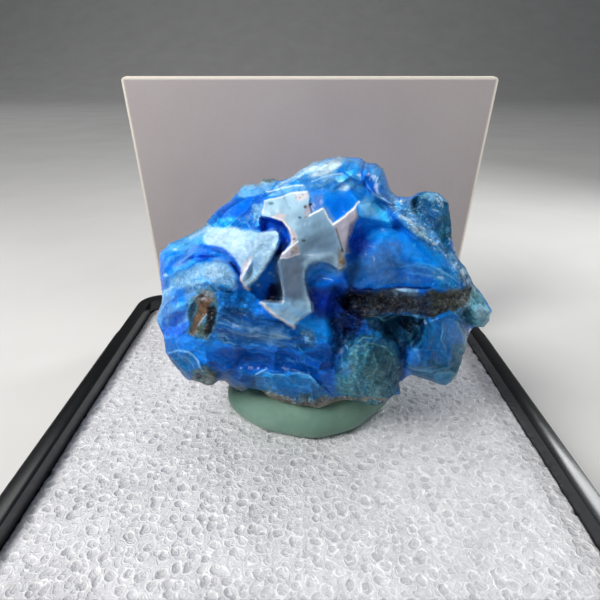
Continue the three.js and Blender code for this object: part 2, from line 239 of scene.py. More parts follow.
def foam_blank():
    """A closed slab in the base's inside, with a finely divided top and plain sides."""
    low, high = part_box("foam_pad")
    x0, x1 = low.x - FOAM_REACH, high.x + FOAM_REACH
    y0, y1 = low.y - FOAM_REACH, high.y + FOAM_REACH
    nx = int((x1 - x0) / FOAM_GRID)
    ny = int((y1 - y0) / FOAM_GRID)
    xs = np.linspace(x0, x1, nx + 1)
    ys = np.linspace(y0, y1, ny + 1)
    gx, gy = np.meshgrid(xs, ys, indexing="ij")
    # The corners are pulled in to the round corners of the base
    straight_x, straight_y = x1 - INSIDE_CORNER, y1 - INSIDE_CORNER
    over_x = np.maximum(np.abs(gx) - straight_x, 0)
    over_y = np.maximum(np.abs(gy) - straight_y, 0)
    over = np.hypot(over_x, over_y)
    pull = np.where(over > INSIDE_CORNER, INSIDE_CORNER / np.maximum(over, 1e-9), 1.0)
    gx = np.where(over > 0, np.sign(gx) * (np.minimum(np.abs(gx), straight_x) + over_x * pull), gx)
    gy = np.where(over > 0, np.sign(gy) * (np.minimum(np.abs(gy), straight_y) + over_y * pull), gy)
    top = np.stack([gx, gy, np.full_like(gx, high.z)], -1).reshape(-1, 3)
    index = np.arange((nx + 1) * (ny + 1)).reshape(nx + 1, ny + 1)
    quads = np.stack([index[:-1, :-1], index[1:, :-1], index[1:, 1:], index[:-1, 1:]], -1).reshape(-1, 4)
    rim = np.concatenate([index[:, 0], index[-1, 1:], index[-2::-1, -1], index[0, -2:0:-1]])
    under = top[rim].copy()
    under[:, 2] = low.z
    first = len(top)
    count = len(rim)
    sides = [(rim[k], first + k, first + (k + 1) % count, rim[(k + 1) % count]) for k in range(count)]
    vertices = np.concatenate([top, under])
    floor = [tuple(first + k for k in range(count - 1, -1, -1))]
    return mesh_piece("foam_visual", vertices, list(quads) + sides + floor)


def round_bubbles(tree, position, scale, seed_shift):
    """Round bubbles cut open by the top face: one cell each, bent a little by noise."""
    flat = add_node(tree, "ShaderNodeVectorMath", {"operation": "MULTIPLY_ADD"}, i0=position,
                    i1=(1.0, 1.0, 0.0), i2=seed_shift).outputs[0]
    drift = add_node(tree, "ShaderNodeTexNoise", Vector=flat, Scale=1300.0, Detail=2.0).outputs["Color"]
    bent = add_node(tree, "ShaderNodeVectorMath", {"operation": "MULTIPLY_ADD"}, i0=drift,
                    i1=(0.55 * MM, 0.55 * MM, 0.0), i2=flat).outputs[0]
    return add_node(tree, "ShaderNodeTexVoronoi", {"voronoi_dimensions": "2D", "feature": "F1"}, Vector=bent,
                    Scale=scale, Randomness=0.95)


def foam_tree(material):
    """Geometry nodes that press round bubbles of two sizes into whatever faces up."""
    tree = bpy.data.node_groups.new("foam_bubbles", "GeometryNodeTree")
    face = tree.interface
    face.new_socket("Geometry", in_out="INPUT", socket_type="NodeSocketGeometry")
    inputs = {}
    for name, value in (("Bubbles per metre", FOAM_BUBBLES), ("Pit depth", PIT_DEPTH), ("Seed", FOAM_SEED),
                        ("Top height", 0.0)):
        socket = face.new_socket(name, in_out="INPUT", socket_type="NodeSocketFloat")
        socket.default_value = value
        inputs[name] = socket.identifier
    face.new_socket("Geometry", in_out="OUTPUT", socket_type="NodeSocketGeometry")
    start = tree.nodes.new("NodeGroupInput")
    end = tree.nodes.new("NodeGroupOutput")
    position = tree.nodes.new("GeometryNodeInputPosition").outputs[0]
    ports = start.outputs
    shift = add_node(tree, "ShaderNodeCombineXYZ", X=times(tree, ports["Seed"], 0.01)).outputs[0]

    def bowl(scale_factor):
        """A round bowl in each bubble, deeper in some, with a low lip round it."""
        scale = times(tree, ports["Bubbles per metre"], scale_factor)
        bubble = round_bubbles(tree, position, scale, shift)
        off = maths(tree, "DIVIDE", bubble.outputs["Distance"], 0.42)
        round_bowl = minus(tree, 1.0, times(tree, off, off), clamp=True)
        lot = add_node(tree, "ShaderNodeSeparateXYZ", Vector=bubble.outputs["Color"]).outputs["X"]
        return times(tree, round_bowl, plus(tree, 0.25, times(tree, lot, 0.75)))

    mixed = maths(tree, "MAXIMUM", bowl(1.0), times(tree, bowl(SMALL_BUBBLES), 0.5))
    waves = add_node(tree, "ShaderNodeTexNoise", Vector=position, Scale=130.0, Detail=3.0).outputs["Fac"]
    rise = plus(tree, times(tree, mixed, times(tree, ports["Pit depth"], -1.0)),
                times(tree, minus(tree, waves, 0.5), 0.35 * MM))
    offset = add_node(tree, "ShaderNodeCombineXYZ", Z=rise).outputs[0]
    height = add_node(tree, "ShaderNodeSeparateXYZ", Vector=position).outputs["Z"]
    on_top = tree.nodes.new("FunctionNodeCompare")
    on_top.data_type = "FLOAT"
    on_top.operation = "GREATER_THAN"
    tree.links.new(height, on_top.inputs[0])
    tree.links.new(ports["Top height"], on_top.inputs[1])
    move = tree.nodes.new("GeometryNodeSetPosition")
    tree.links.new(ports["Geometry"], move.inputs["Geometry"])
    tree.links.new(on_top.outputs[0], move.inputs["Selection"])
    tree.links.new(offset, move.inputs["Offset"])
    realise = tree.nodes.new("GeometryNodeRealizeInstances")
    tree.links.new(move.outputs[0], realise.inputs[0])
    dress = tree.nodes.new("GeometryNodeSetMaterial")
    dress.inputs["Material"].default_value = material
    tree.links.new(realise.outputs[0], dress.inputs["Geometry"])
    tree.links.new(dress.outputs[0], end.inputs[0])
    return tree, inputs


def white_foam():
    material, tree, shader = new_material("white_foam", Base_Color=hex_colour("#e9eaea"), Roughness=0.5,
                                          Subsurface_Weight=0.35, Subsurface_Scale=0.5 * MM,
                                          Subsurface_Radius=(1.0, 1.0, 1.0), IOR=1.4,
                                          Specular_IOR_Level=0.6, Coat_Weight=0.2, Coat_Roughness=0.2)
    place = object_space(tree)
    shift = (0.01 * FOAM_SEED, 0.0, 0.0)
    gate = noise(tree, place, 2900, detail=2)
    glint = rising(tree, gate, 0.5, 0.6)

    def bubble_marks(scale):
        """A bubble's inside, painted greyer as shade in its pit, and its lip, painted bright as a highlight.
        """
        bubble = round_bubbles(tree, place, scale, shift)
        lot = add_node(tree, "ShaderNodeSeparateColor", Color=bubble.outputs["Color"]).outputs["Red"]
        chosen = ramp(tree, lot, [(0.3, (0.1, 0.1, 0.1, 1)), (1.0, WHITE)])
        inside = falling(tree, bubble.outputs["Distance"], 0.24, 0.36)
        lip = ramp(tree, bubble.outputs["Distance"],
                   [(0.30, BLACK), (0.37, WHITE), (0.43, WHITE), (0.52, BLACK)])
        return times(tree, inside, chosen), lip

    wide_inside, wide_lip = bubble_marks(FOAM_BUBBLES)
    small_inside, small_lip = bubble_marks(FOAM_BUBBLES * SMALL_BUBBLES)
    lips = maths(tree, "MAXIMUM", wide_lip, times(tree, small_lip, 0.7))
    painted_glint = times(tree, lips, glint)
    cloud = noise(tree, place, 420, detail=5)
    film = noise(tree, mapped(tree, place, scale=(1, 0.6, 1)), 7200, detail=3, distortion=1.2)
    film = rising(tree, film, 0.48, 0.66)
    tint = ramp(tree, cloud, [(0.3, hex_colour("#c6c6cb")), (0.7, hex_colour("#e2e2e5"))])
    tint = blend_colours(tree, times(tree, film, 0.45), tint, hex_colour("#ffffff"))
    # Painted highlight: the bubbles' lips are made paler.
    tint = blend_colours(tree, times(tree, lips, 0.26), tint, hex_colour("#f8f8f9"))
    # Painted shade: the insides of the bubbles' pits are made greyer.
    tint = blend_colours(tree, times(tree, small_inside, 0.24), tint, hex_colour("#a9a9af"))
    tint = blend_colours(tree, times(tree, wide_inside, 0.42), tint, hex_colour("#a2a2a8"))
    # Painted glints: white where the lips would catch the light.
    tint = blend_colours(tree, times(tree, painted_glint, 0.9), tint, hex_colour("#ffffff"))
    tree.links.new(tint, shader.inputs["Base Color"])
    gloss = ramp(tree, painted_glint, [(0.0, (0.5, 0.5, 0.5, 1)), (0.8, (0.16, 0.16, 0.16, 1))])
    tree.links.new(gloss, shader.inputs["Roughness"])
    height = minus(tree, lips, times(tree, maths(tree, "MAXIMUM", wide_inside, small_inside), 0.5))
    tree.links.new(bump(tree, plus(tree, height, times(tree, gate, 1.2)), 0.6, 0.06 * MM),
                   shader.inputs["Normal"])
    return material


foam = foam_blank()
foam_material = white_foam()
foam_group, foam_inputs = foam_tree(foam_material)
bubbles_modifier = foam.modifiers.new("Bubbles", "NODES")
bubbles_modifier.node_group = foam_group
bubbles_modifier[foam_inputs["Top height"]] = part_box("foam_pad")[1].z - 0.05 * MM
apply_modifiers(foam)
finish_piece(foam, "foam_pad", foam_material)


# The putty
# A dab of mint-green mineral putty, rolled between the fingers and squashed under the stone until it
# spread into a low round cake. It is matt and a little greasy, with small dents and pinholes.

PUTTY_RINGS = 110
PUTTY_SINK = 0.02 * MM
TURN_UNDER = math.radians(150)

# Factors that scatter lattice places and seeds into random values
CELL_FACTORS = (127.1, 311.7, 191.3)
SEED_FACTOR = 74.7
SCATTER_FACTOR = 43758.5453


def value_noise(seed, size, *coordinates):
    """Smooth random values from -1 to 1 on a lattice of the given size, in two or three dimensions."""
    scaled = [np.asarray(c, float) / size for c in coordinates]
    cells = [np.floor(c) for c in scaled]
    parts = [(s - c) * (s - c) * (3 - 2 * (s - c)) for s, c in zip(scaled, cells)]
    total = 0.0
    for corner in range(2 ** len(scaled)):
        weight, key = 1.0, seed * SEED_FACTOR
        for axis in range(len(scaled)):
            up = corner >> axis & 1
            weight = weight * (parts[axis] if up else 1 - parts[axis])
            key = key + (cells[axis] + up) * CELL_FACTORS[axis]
        mixed = np.sin(key) * SCATTER_FACTOR
        total = total + weight * (2 * (mixed - np.floor(mixed)) - 1)
    return total


def fractal(seed, size, *coordinates, octaves=4, gain=0.5):
    """Value noise summed over finer and finer lattices."""
    total, share = 0.0, 1.0
    for octave in range(octaves):
        total = total + share * value_noise(seed + 3 * octave, size / 2 ** octave, *coordinates)
        share *= gain
    return total


def smooth_step(value):
    t = np.clip(value, 0.0, 1.0)
    return t * t * (3 - 2 * t)


def first_of_ring(ring):
    """The number of a ring's first point, where the centre is point 0."""
    return 1 + 3 * (ring - 1) * ring


def ring_grid(rings):
    """A round grid: each ring has six more points than the one inside it. Returns angle, ring number
    and the triangles that sew the rings together."""
    angles = [np.zeros(1)]
    numbers = [np.zeros(1)]
    for ring in range(1, rings + 1):
        angles.append(np.arange(6 * ring) * (2 * math.pi / (6 * ring)))
        numbers.append(np.full(6 * ring, ring))
    triangles = [(0, 1 + k, 1 + (k + 1) % 6) for k in range(6)]
    for ring in range(2, rings + 1):
        inner, outer = first_of_ring(ring - 1), first_of_ring(ring)
        triangles += sewn(inner, 6 * (ring - 1), outer, 6 * ring)
    return np.concatenate(angles), np.concatenate(numbers), triangles


def sewn(inner, inner_count, outer, outer_count):
    """Triangles between two rings whose counts are multiples of six."""
    made = []
    inner_steps, outer_steps = inner_count // 6, outer_count // 6
    for sector in range(6):
        i, o = 0, 0
        while i < inner_steps or o < outer_steps:
            a = inner + (sector * inner_steps + i) % inner_count
            b = outer + (sector * outer_steps + o) % outer_count
            if i >= inner_steps or (o < outer_steps and (o + 1) * inner_steps <= (i + 1) * outer_steps):
                made.append((a, b, outer + (sector * outer_steps + o + 1) % outer_count))
                o += 1
            else:
                made.append((a, b, inner + (sector * inner_steps + i + 1) % inner_count))
                i += 1
    return made


def make_putty():
    """The cake's top and side as one ring grid, closed underneath by a flat fan."""
    low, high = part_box("putty")
    centre = (low + high) / 2
    half_x, half_y = (high.x - low.x) / 2, (high.y - low.y) / 2
    foam_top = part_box("foam_pad")[1].z
    angle, ring, triangles = ring_grid(PUTTY_RINGS)
    t = ring / PUTTY_RINGS
    height = high.z - foam_top + PUTTY_SINK
    # The ring number runs over the flat top, round the shoulder and down the bulging side
    flat = 0.62
    top_share = np.clip(t / flat, 0, 1)
    side_turn = np.clip((t - flat) / (1 - flat), 0, 1) * TURN_UNDER
    out = 0.76 * top_share + 0.24 * np.sin(side_turn)
    lowest = math.cos(TURN_UNDER)
    rise = np.where(t < flat, 1.0, (np.cos(side_turn) - lowest) / (1 - lowest))
    swell = 1 + 0.03 * np.sin(2 * angle + 0.6) + 0.02 * np.sin(5 * angle + 2.0) + 0.008 * np.sin(11 * angle)
    x = centre.x + half_x * out * swell * np.cos(angle)
    y = centre.y + half_y * out * swell * np.sin(angle)
    z = foam_top - PUTTY_SINK + height * rise
    dent = fractal(11, 2.4 * MM, x, y, z, octaves=5, gain=0.5)
    grow = 1 + 0.014 * dent
    x = centre.x + (x - centre.x) * grow
    y = centre.y + (y - centre.y) * grow
    z = z + 0.10 * MM * dent * (t < 0.95)
    vertices = np.stack([x, y, z], -1)
    rim = first_of_ring(PUTTY_RINGS)
    count = 6 * PUTTY_RINGS
    base = np.array([[centre.x, centre.y, foam_top - PUTTY_SINK]])
    vertices = np.concatenate([vertices, base])
    last = len(vertices) - 1
    fan = [(rim + (k + 1) % count, rim + k, last) for k in range(count)]
    return mesh_piece("putty_visual", vertices, triangles + fan)


def mineral_putty():
    material, tree, shader = new_material("mineral_putty", Roughness=0.62, Subsurface_Weight=0.12,
                                          Subsurface_Scale=0.4 * MM, Subsurface_Radius=(0.7, 1.0, 0.8),
                                          Specular_IOR_Level=0.4, Sheen_Weight=0.1)
    place = object_space(tree)
    cloud = noise(tree, place, 260, detail=6)
    grain = noise(tree, place, 5200, detail=3)
    tint = ramp(tree, cloud, [(0.3, hex_colour("#5f8273")), (0.52, hex_colour("#6f9383")),
                              (0.75, hex_colour("#86a999"))])
    holes = add_node(tree, "ShaderNodeTexVoronoi", {"feature": "F1"}, Vector=place, Scale=900.0)
    pinhole = rising(tree, holes.outputs["Distance"], 0.05, 0.14)
    rare = falling(tree, noise(tree, place, 500, detail=1), 0.55, 0.6)
    pits = maths(tree, "MAXIMUM", pinhole, rare)
    # Painted shade: the pinholes are darkened to a deep green.
    tint = blend_colours(tree, pits, hex_colour("#2c4238"), tint)
    tree.links.new(tint, shader.inputs["Base Color"])
    height = plus(tree, times(tree, grain, 0.35), pits)
    tree.links.new(bump(tree, height, 0.35, 0.05 * MM), shader.inputs["Normal"])
    return material


finish_piece(make_putty(), "putty", mineral_putty())


# The stone
# A natural piece of allophane, broken from a crust: glassy to waxy blue and sea-green masses with
# silky flow lines, a thick pale opaque band, a brown granular ledge of matrix and a rusty inclusion.
# It is one piece. What it shows is laid out as seen from one viewpoint, on a sheet of glass square to
# the line of sight, in steps of which SHEET_STEPS fit between the viewpoint and the sheet.

VIEWPOINT = np.array([0.0, -24.96, 26.2]) * MM
VIEW_PITCH = math.radians(26.4)
SHEET_STEPS = 450.0
SHEET_CENTRE = 300.0
STANCE_FOOT = np.array([0.0, -3.1, 8.2]) * MM
STANCE_LEAN = math.radians(12)
STONE_CENTRE = (320.0, 284.7)
FRONT_BULGE = 3.6
BACK_BULGE = 8.9
STEPS_TO_MM = 28 / SHEET_STEPS
FRONT_RINGS = 156
UNDERSIDE_START = 48.0
UNDERSIDE_HEIGHT = 64.0
INSET_REACH = 40.0

STONE_OUTLINE = [
    (156, 320), (162, 298), (159.5, 269), (160.5, 252), (170, 243), (186, 236.5), (206, 225), (212, 213),
    (225, 204), (238, 192), (243, 185.5), (260, 182.5), (264, 179), (275, 178), (279, 180.5), (291, 177),
    (301, 170), (314, 162), (328, 158), (346, 156.5), (360, 158), (366, 163), (376, 163), (383.5, 168),
    (386, 177), (390, 188), (397, 197), (411, 197), (418, 193), (427, 191), (438.5, 193), (447.5, 202),
    (451, 216), (451.5, 236), (456, 255), (466, 269), (475, 285), (484.5, 298), (491, 310), (490, 321),
    (484, 327), (473, 326.5), (469.5, 331), (465, 347), (461.5, 365), (452, 383), (445, 386), (427, 380),
    (411, 375), (406, 378), (399.5, 384), (400, 393), (392.5, 396), (385, 403), (376, 406), (360, 402),
    (346.5, 401), (335, 403), (319, 407.5), (301, 406), (283, 403), (271, 397), (262, 391.5), (250, 389),
    (243, 391.5), (232, 387), (225, 381), (218.5, 380.2), (212.2, 385), (208, 386), (202, 383),
    (188, 380), (174.5, 366), (165, 353.5), (164, 335),
]

# Outlines that both the relief and the colours use
PALE_BAND = [
    (262.5, 216.6), (260.5, 213), (266, 200.5), (287.8, 194.2), (298, 192), (307.3, 192.2), (310, 197),
    (309, 205), (312, 213.5), (322.5, 207.5), (333, 223.7), (356, 206.5), (358.5, 216), (353, 228.5),
    (349, 240), (350, 253), (345, 255), (347.3, 266.5), (339, 270), (328, 263.4), (316.5, 261.5),
    (309.5, 264.4), (306, 270.7), (305.3, 279), (307.7, 291.7), (311.5, 303.2), (312.5, 312),
    (303.8, 316.2), (297.5, 322), (294.3, 328.3), (287.8, 324.3), (276.3, 317.4), (266, 309.4),
    (260.8, 302.7), (281, 302.7), (283.2, 297.9), (282, 289.8), (278.6, 274.9), (277, 266),
    (276.9, 256.8), (284.3, 251), (289.5, 245.3), (291, 240.7), (290.1, 235), (286.6, 228.1),
    (282, 222.3), (271.7, 218.9),
]
ROUGH_PATCH = [
    (204, 240.7), (209.7, 228.1), (218.9, 226.3), (237.2, 228.2), (251, 230.4), (260.2, 232.7),
    (268.2, 230.4), (276.3, 229.2), (280.3, 232.7), (279.7, 240.7), (276.3, 249.9), (269.4, 260.2),
    (263.6, 270.5), (257.9, 278.6), (249.9, 285), (246, 287.8), (240.7, 279.7), (240.7, 274),
    (235, 265.9), (228.1, 257.8), (221.2, 252), (208.5, 248.7),
]
LEFT_LUMP = [
    (166, 296), (172, 283), (179, 275), (188, 268), (200, 262.5), (214, 261), (226, 263), (235, 270),
    (239, 279), (233, 289), (219, 288), (206, 284), (194, 287), (183, 294), (172, 300),
]
DEEP_HOLLOW = [
    (281, 254), (281, 243), (272, 260), (264, 272), (258, 281), (250, 289), (262, 300.5), (281, 302.5),
    (283, 296), (280, 276), (277, 262),
]
BLUE_NOTCH = [
    (261, 217.5), (272, 219.5), (282, 223), (287, 229), (290.5, 236), (291, 241), (285, 250), (278, 255),
    (281, 242), (280.5, 233), (276.5, 229.5), (268, 230.5), (262, 231),
]
GRANULAR_LEDGE = [
    (337, 297), (347, 291), (372, 293), (392, 290), (420, 295), (436, 291), (452, 293), (462, 287),
    (471, 287), (470, 303), (460, 309), (445, 314), (433, 319), (420, 315), (405, 314), (392, 312),
    (378, 318), (366, 320), (352, 315), (342, 308),
]
RIGHT_FACE = [
    (352, 226), (360, 219), (380, 222), (390, 225), (398, 222), (412, 231), (430, 245), (446, 260),
    (457, 276), (458, 287), (440, 288), (400, 288), (372, 291), (350, 288), (345, 272), (347, 256),
]
RIGHT_BLOCK = [
    (422, 322), (434, 319), (450, 311), (457, 315), (466, 327), (467, 340), (462, 362), (451, 384),
    (444, 386), (427, 380), (412, 375), (405, 368), (412, 352), (421, 340),
]
TEAL_HUMP = [
    (345, 345), (355, 336), (372, 333), (388, 336), (399, 348), (402, 366), (399, 386), (390, 397),
    (372, 404), (350, 401), (338, 392), (333, 374),
]
LOWER_FLAKE = [
    (255, 375), (262, 371), (285, 374.5), (300, 372.5), (310, 374), (317, 381), (323, 385), (334, 398),
    (315, 401), (290, 399), (272, 394), (258, 386),
]
TOP_KNOB = [(340, 163), (346, 157), (360, 158), (366, 164), (369, 172), (362, 183), (352, 179), (344, 172)]
SECOND_KNOB = [
    (366, 170), (371, 164), (384, 168), (387, 178), (391, 189), (399, 200), (391, 205), (378, 199),
    (369, 190), (363, 180),
]
AZURE_FACET = [
    (310, 206), (317, 197), (330, 193), (345, 190), (357, 195), (360, 201.5), (346, 216), (333, 223.5),
    (322.5, 207), (313, 212.5),
]
TEAL_KNOB = [
    (411, 201), (420, 193), (430, 190), (440, 194), (449, 204), (452, 218), (451, 238), (444, 246),
    (432, 233), (418, 222),
]
CREST = [
    (384, 186), (391, 190), (400, 197), (409, 203), (416, 214), (428, 224), (441, 240), (452, 254),
    (465, 268), (476, 284), (482, 296), (471, 290), (458, 279), (447, 264), (433, 250), (418, 238),
    (403, 224), (389, 207),
]
RIGHT_FLAKE = [
    (463, 311), (470, 302), (470, 288), (478, 286), (485, 297), (492, 310), (491, 322), (484, 328),
    (472, 327.5), (466, 320),
]
INCLUSION = [
    (196, 298), (203, 295), (211, 298), (217, 306), (216, 320), (211, 334), (205, 340), (197, 339),
    (191, 332), (190, 318), (192, 306),
]

# Broken faces that stand proud or lie back: outline, rise in mm, width of the step in sheet steps and
# how the face tilts to the right and downwards, in mm over 100 steps
FACES = [
    (PALE_BAND, 0.42, 0.9, -0.3, 0.5),
    (ROUGH_PATCH, 0.4, 1.2, 0.5, 1.0),
    (LEFT_LUMP, 0.3, 2.5, 0.3, 0.4),
    (DEEP_HOLLOW, -0.85, 1.8, -1.0, 0.5),
    (BLUE_NOTCH, -0.6, 1.5, 1.0, 0.0),
    (GRANULAR_LEDGE, -1.2, 1.6, 0.0, 0.8),
    (RIGHT_FACE, -0.55, 3.0, 0.5, 1.2),
    (RIGHT_BLOCK, 0.5, 1.6, 0.6, -0.5),
    (TEAL_HUMP, 0.4, 3.0, 0.0, 0.0),
    (LOWER_FLAKE, 0.45, 1.2, 0.0, 0.6),
    (TOP_KNOB, 0.5, 2.2, 0.5, 0.3),
    (SECOND_KNOB, 0.5, 1.6, 0.8, 0.6),
    (TEAL_KNOB, -1.7, 2.5, 0.0, 0.0),
    (RIGHT_FLAKE, -0.9, 3.0, 0.5, 0.5),
    (INCLUSION, -0.35, 1.5, 0.0, 0.0),
    ([(382, 322), (396, 316), (412, 317), (422, 323), (420, 338), (411, 350), (402, 340), (388, 334)],
     -1.0, 5.0, 0.0, 0.0),
    ([(336, 290), (352, 296), (350, 316), (352, 336), (342, 352), (334, 340), (330, 310)],
     -0.8, 8.0, 0.0, 0.0),
    ([(426, 323), (444, 320), (440, 344), (424, 348)], 0.0, 2.0, -2.5, 1.0),
    ([(444, 320), (457, 315), (466, 328), (464, 348), (446, 350)], 0.15, 1.6, 3.0, 0.5),
    ([(412, 348), (446, 350), (450, 366), (414, 369), (406, 364)], 0.2, 1.6, -0.5, 1.2),
    ([(410, 369), (452, 367), (446, 386), (427, 380), (411, 375)], -0.25, 1.6, 0.5, -4.0),
    ([(396, 340), (406, 346), (405, 366), (402, 384), (396, 396), (398, 372)], -0.9, 4.0, 0.0, 0.0),
    ([(264, 376), (286, 375), (298, 384), (282, 392), (266, 388)], 0.12, 1.4, -2.0, 1.5),
    ([(299, 374), (312, 376), (322, 386), (312, 396), (300, 386)], 0.18, 1.4, 2.5, -1.0),
    ([(172, 350), (190, 349), (202, 364), (198, 378), (184, 378), (171, 366)], 0.28, 1.6, 1.5, 1.5),
    ([(163, 318), (184, 315), (188, 332), (176, 342), (164, 338)], -0.3, 1.8, 1.5, -1.0),
    ([(168, 300), (188, 298), (188, 311), (170, 315)], 0.22, 1.5, 0.0, 2.0),
]

# Rounded lumps and hollows: place, half sizes along and across, turn in degrees and rise in mm
LUMPS = [
    (199, 300, 47, 51, -10, 1.25),
    (199, 316, 12, 20, -8, -0.35),
    (258, 333, 68, 10, 9, 0.5),
    (258, 361, 58, 14, 4, -0.8),
    (366, 363, 34, 40, 0, 1.0),
    (353, 170, 31, 18, 10, 0.7),
    (341, 190, 24, 8, 25, -0.35),
    (419, 238, 74, 9, 48, 1.0),
    (242, 206, 34, 11, -38, -0.5),
    (321, 257, 20, 10, 0, 0.35),
    (321, 276, 17, 11, 0, -0.4),
    (433, 212, 19, 26, -12, 1.1),
    (380, 265, 30, 18, 20, 0.5),
    (408, 292, 15, 4, 3, 0.7),
    (308, 338, 7, 4, 0, 0.35),
    (345, 367, 10, 8, 0, 0.4),
    (437, 352, 18, 8, 60, -0.3),
    (205, 258, 20, 4, -2, -0.5),
    (236, 268, 12, 4, 55, -0.6),
    (246, 272, 16, 3, -62, 0.35),
    (178, 322, 12, 12, 0, -0.5),
    (170, 262, 10, 16, 0, -0.3),
    (186, 258, 16, 4, -35, 0.35),
]

# Scooped breaks, like those of glass: outline (none for the whole stone), size in steps, stretch, the
# direction in degrees below the level, height in mm and how pale the sharp edges between them are
# painted, as a highlight along them
CHIPS = [
    (None, 26, 1.4, 20, 0.22, 0.0),
    ([(150, 240), (210, 215), (250, 180), (300, 165), (270, 200), (262, 228), (208, 235), (208, 262),
      (170, 290), (150, 296)], 11, 2.6, -38, 0.30, 0.45),
    ([(154, 290), (200, 282), (216, 300), (214, 340), (206, 350), (160, 344)], 13, 1.5, -48, 0.42, 0.5),
    ([(158, 338), (208, 344), (222, 372), (214, 390), (176, 372), (160, 350)], 12, 1.5, 30, 0.40, 0.5),
    ([(212, 316), (228, 306), (256, 306), (316, 328), (340, 346), (262, 350), (214, 342)],
     6, 4.5, 13, 0.16, 0.2),
    ([(205, 344), (340, 342), (338, 374), (210, 374)], 13, 2.2, 8, 0.34, 0.3),
    ([(216, 368), (330, 370), (345, 404), (262, 402), (222, 384)], 11, 1.9, 14, 0.34, 0.45),
    ([(264, 196), (300, 168), (345, 154), (356, 180), (346, 193), (308, 192)], 7, 3.4, -24, 0.24, 0.4),
    ([(345, 180), (400, 200), (410, 216), (392, 232), (356, 200)], 12, 1.8, 40, 0.26, 0.3),
    ([(350, 222), (400, 216), (460, 276), (460, 292), (346, 292)], 22, 2.6, 52, 0.10, 0.0),
    ([(400, 312), (470, 306), (470, 350), (454, 388), (402, 372)], 15, 1.5, 64, 0.50, 0.4),
    ([(334, 332), (404, 330), (406, 400), (336, 404)], 8, 2.2, 96, 0.26, 0.25),
    ([(212, 284), (262, 286), (300, 306), (262, 316), (214, 318)], 10, 1.5, 20, 0.30, 0.3),
    (CREST, 7, 1.3, 45, 0.30, 0.5),
    (GRANULAR_LEDGE, 4, 1.4, 10, 0.16, 0.0),
    (TEAL_KNOB, 14, 1.4, 80, 0.34, 0.2),
    ([(452, 286), (494, 300), (490, 330), (452, 324)], 12, 1.4, 60, 0.34, 0.3),
    ([(338, 312), (430, 312), (424, 350), (340, 350)], 11, 1.5, 30, 0.40, 0.1),
]

# The back is broken off in flat faces: depth in mm, and its slope to the right and upwards
BACK_FACES = [(8.8, 0.1, 0.15), (8.4, -0.6, 0.2), (8.7, 0.55, -0.1), (8.9, 0.1, -0.5), (10.8, -0.1, -0.8)]


def off_segment(x, y, ax, ay, bx, by):
    """How far points lie from a straight line between two places."""
    dx, dy = bx - ax, by - ay
    t = np.clip(((x - ax) * dx + (y - ay) * dy) / (dx * dx + dy * dy), 0, 1)
    return np.hypot(x - ax - t * dx, y - ay - t * dy)


def inset(outline, px, py):
    """How far each point lies inside an outline, in steps: above zero inside, below zero outside."""
    corners = np.array(outline, float)
    low, high = corners.min(0) - INSET_REACH, corners.max(0) + INSET_REACH
    near = (px > low[0]) & (px < high[0]) & (py > low[1]) & (py < high[1])
    x, y = px[near], py[near]
    nearest = np.full(x.shape, np.inf)
    inside = np.zeros(x.shape, bool)
    for (ax, ay), (bx, by) in zip(corners, np.roll(corners, -1, axis=0)):
        nearest = np.minimum(nearest, off_segment(x, y, ax, ay, bx, by))
        if ay != by:
            inside ^= ((ay > y) != (by > y)) & (x < ax + (y - ay) / (by - ay) * (bx - ax))
    depth = np.full(px.shape, -INSET_REACH)
    depth[near] = np.where(inside, nearest, -nearest)
    return depth


def off_line(points, px, py):
    """How far each point lies from a line through the given points, in steps."""
    nearest = np.full(px.shape, np.inf)
    for (ax, ay), (bx, by) in zip(points[:-1], points[1:]):
        nearest = np.minimum(nearest, off_segment(px, py, ax, ay, bx, by))
    return nearest


def share_inside(outline, px, py, soft):
    """How far each point is inside an outline, from 0 to 1, with an edge softened to both sides."""
    return smooth_step(0.5 + inset(outline, px, py) / (2 * soft))


def along_across(x, y, degrees):
    """Distances along and across a direction that runs the given angle below the level."""
    angle = math.radians(degrees)
    return x * math.cos(angle) + y * math.sin(angle), y * math.cos(angle) - x * math.sin(angle)


def outline_reach(angle):
    """How far the stone's outline is from its centre at each angle, in steps: exactly, and eased over
    its small notches."""
    table = np.linspace(0, 2 * math.pi, 7201)
    ux, uy = np.cos(table), -np.sin(table)
    reach = np.zeros_like(table)
    corners = np.array(STONE_OUTLINE, float)
    for (ax, ay), (bx, by) in zip(corners, np.roll(corners, -1, axis=0)):
        px, py = ax - STONE_CENTRE[0], ay - STONE_CENTRE[1]
        across = ux * (by - ay) - uy * (bx - ax)
        across = np.where(np.abs(across) < 1e-9, 1e-9, across)
        distance = (px * (by - ay) - py * (bx - ax)) / across
        t = (px * uy - py * ux) / across
        reach = np.where((distance > 0) & (t >= 0) & (t <= 1), np.maximum(reach, distance), reach)
    spread = 160
    window = np.hanning(2 * spread + 1)
    turned = np.concatenate([reach[-spread - 1:-1], reach, reach[1:spread + 1]])
    eased = np.convolve(turned, window / window.sum(), "valid")
    return np.interp(angle, table, reach), np.interp(angle, table, eased)


def scatter(seed, cx, cy):
    """A random value from 0 to 1 for each lattice cell."""
    mixed = np.sin(cx * CELL_FACTORS[0] + cy * CELL_FACTORS[1] + seed * SEED_FACTOR) * SCATTER_FACTOR
    return mixed - np.floor(mixed)


